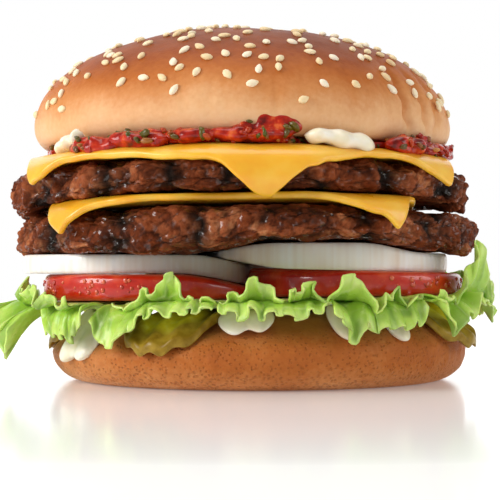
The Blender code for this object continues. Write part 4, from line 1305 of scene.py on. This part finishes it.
def leaves():
    """The lettuce: layer 0 droops over the heel's shoulder and layer 1 rises beside the tomato."""
    return (
        Leaf(
            "lettuce_left", 0, (157.0, 204.5), 74.0, -4.0, ((200.0, -8.0, 6.0), (178.0, -4.0, 6.0)), 4.0,
            5.0, 12.0,
        ),
        Leaf("lettuce_left_fold", 0, (206.0, 224.5), 64.5, -7.5, ((214.0, -0.5, 6.0),), 0.5, 1.0, 13.0),
        Leaf("lettuce_front_left", 0, (225.5, 259.0), 63.5, -1.5, ((232.0, -9.5, 7.0),), 0.6, 2.5, 6.0),
        Leaf("lettuce_front", 0, (260.0, 286.0), 62.0, -2.2, ((277.0, -1.0, 4.0),), 0.9, 4.0, 6.0),
        Leaf("lettuce_front_right", 0, (287.0, 313.0), 63.5, -6.5, ((292.5, -3.0, 1.8),), 0.8, 4.0, 7.0),
        Leaf(
            "lettuce_right", 0, (314.0, 354.0), 66.0, -4.5, ((320.0, -2.5, 4.0), (335.0, 4.0, 5.0)), 1.6,
            5.0, 8.0,
        ),
        Leaf(
            "lettuce_back_right", 0, (355.0, 436.0), 65.0, -4.0, ((385.0, -3.0, 6.0), (415.0, -4.0, 8.0)),
            2.8, 6.0,
        ),
        Leaf(
            "lettuce_back_left", 0, (437.0, 516.0), 66.0, -4.0, ((460.0, -4.0, 7.0), (495.0, -4.0, 8.0)),
            2.8, 6.0,
        ),
        Leaf(
            "lettuce_curl_left", 1, (163.0, 222.0), 67.5, 3.0, ((196.0, 2.5, 6.0), (214.0, -1.0, 5.0)), 1.8,
            6.0, 5.0, 62.0,
        ),
        Leaf(
            "lettuce_curl_front_left", 1, (231.0, 259.5), 60.5, 1.5,
            ((236.0, -4.0, 3.5), (241.0, 2.5, 3.5), (247.6, 7.0, 2.6), (255.0, -1.0, 2.5)), 0.4, 2.0,
        ),
        Leaf("lettuce_curl_front", 1, (260.5, 275.5), 60.5, 1.0, ((268.8, 4.5, 3.4),), 0.5, 2.0),
        Leaf(
            "lettuce_curl_right", 1, (276.5, 313.0), 61.5, 2.6,
            (
                (280.0, 1.5, 2.5), (285.5, -2.0, 2.0), (292.0, 4.0, 2.5), (299.0, -4.5, 3.0),
                (308.0, -4.0, 2.4),
            ),
            1.3, 6.5,
        ),
        Leaf(
            "lettuce_curl_far_right", 1, (314.0, 356.0), 65.5, 3.0,
            ((333.0, 11.0, 6.0), (319.0, -3.0, 4.0), (346.0, -4.0, 4.0)), 1.2, 5.0, 7.0, 58.0,
        ),
        Leaf(
            "lettuce_curl_back_right", 1, (362.0, 440.0), 61.5, 3.0,
            ((374.0, 4.0, 5.0), (393.0, 7.5, 7.0), (416.0, 6.0, 6.0)), 1.5, 5.0,
        ),
        Leaf(
            "lettuce_curl_back_left", 1, (463.0, 518.0), 62.0, 3.0, ((481.0, 5.5, 7.0), (503.0, 4.0, 6.0)),
            1.5, 4.0,
        ),
    )


# Studio


def floor():
    """A white glossy table top, which shows a faint soft reflection."""
    made, tree = new_material(
        "lit white acrylic",
        {"Roughness": 0.14, "IOR": 1.4, "Emission Color": (1.0, 1.0, 1.0, 1.0), "Emission Strength": 0.12},
    )
    here = add(tree, "TexCoord", out="Object")
    away = add(tree, "VectorMath", links={0: here}, out="Value", operation="LENGTH")
    polish = add(
        tree, "MapRange", {"From Min": 70 * MM, "From Max": 200 * MM, "To Min": 0.8, "To Max": 0.02},
        {"Value": away},
    )
    cloud = add(tree, "TexNoise", {"Scale": 1 / (600 * MM)}, {"Vector": here})
    white = add(tree, "ValToRGB", links={"Fac": cloud}, stops=((0.0, "f7f6f4"), (1.0, "fcfbfa")))
    dressed(made, {"Specular IOR Level": polish, "Base Color": white})
    shape = bmesh.new()
    bmesh.ops.create_circle(shape, cap_ends=True, segments=96, radius=1.2)
    bmesh.ops.translate(shape, verts=shape.verts, vec=(0.0, 0.0, -0.02 * MM))
    mesh = bpy.data.meshes.new("table_top")
    shape.to_mesh(mesh)
    shape.free()
    mesh.materials.append(made)
    top = bpy.data.objects.new("table_top", mesh)
    bpy.context.scene.collection.objects.link(top)


def camera():
    """The camera at the photograph's height and distance."""
    data = bpy.data.cameras.new("camera")
    data.lens = CAMERA_LENS
    data.sensor_width = 36.0
    data.clip_end = 100.0
    made = bpy.data.objects.new("camera", data)
    made.location = CAMERA_SPOT
    made.rotation_euler = (CAMERA_TARGET - CAMERA_SPOT).to_track_quat("-Z", "Y").to_euler()
    bpy.context.scene.collection.objects.link(made)
    bpy.context.scene.camera = made


def softbox(name, spot, size, power):
    """A square soft light that faces the burger."""
    data = bpy.data.lights.new(name, "AREA")
    data.energy = power
    data.size = size
    made = bpy.data.objects.new(name, data)
    made.location = spot
    made.rotation_euler = (Vector((0.0, 0.0, 45.0 * MM)) - Vector(spot)).to_track_quat("-Z", "Y").to_euler()
    made.visible_camera = False
    bpy.context.scene.collection.objects.link(made)


def studio():
    """White all round, with a softbox at each side and one above."""
    floor()
    softbox("left softbox", (-0.8, -0.4, 0.42), 0.5, 7.0)
    softbox("right softbox", (0.8, -0.3, 0.4), 0.5, 2.2)
    softbox("top softbox", (0.0, 0.1, 0.95), 0.6, 2.6)
    softbox("backdrop", (0.0, 1.6, 0.5), 2.4, 17.0)
    world = bpy.data.worlds.new("white studio")
    world.use_nodes = True
    tree = world.node_tree
    ray = add(tree, "LightPath")
    level = add(tree, "MapRange", {"To Min": 0.38, "To Max": 1.0}, {"Value": ray})
    background = tree.nodes["Background"]
    background.inputs["Color"].default_value = (1.0, 1.0, 1.0, 1.0)
    tree.links.new(level, background.inputs["Strength"])
    bpy.context.scene.world = world
    bpy.context.scene.view_settings.view_transform = "Standard"


def main():
    camera()
    studio()
    crust = brioche_crust()
    heel(crust)
    mayonnaise(whipped_mayonnaise())
    pickles(dill_pickle())
    green = lettuce_leaf()
    for leaf in leaves():
        leaf.build(green)
    slices(raw_tomato(), raw_onion())
    water_drops()
    beef = grilled_beef()
    LOWER_PATTY.build(beef)
    UPPER_PATTY.build(beef)
    cheese_slices(melted_cheese())
    sauce = red_relish("tomato relish", "")
    relish(sauce)
    relish_drips(sauce)
    relish_bits()
    crown(crust)
    sesame_seeds()


main()
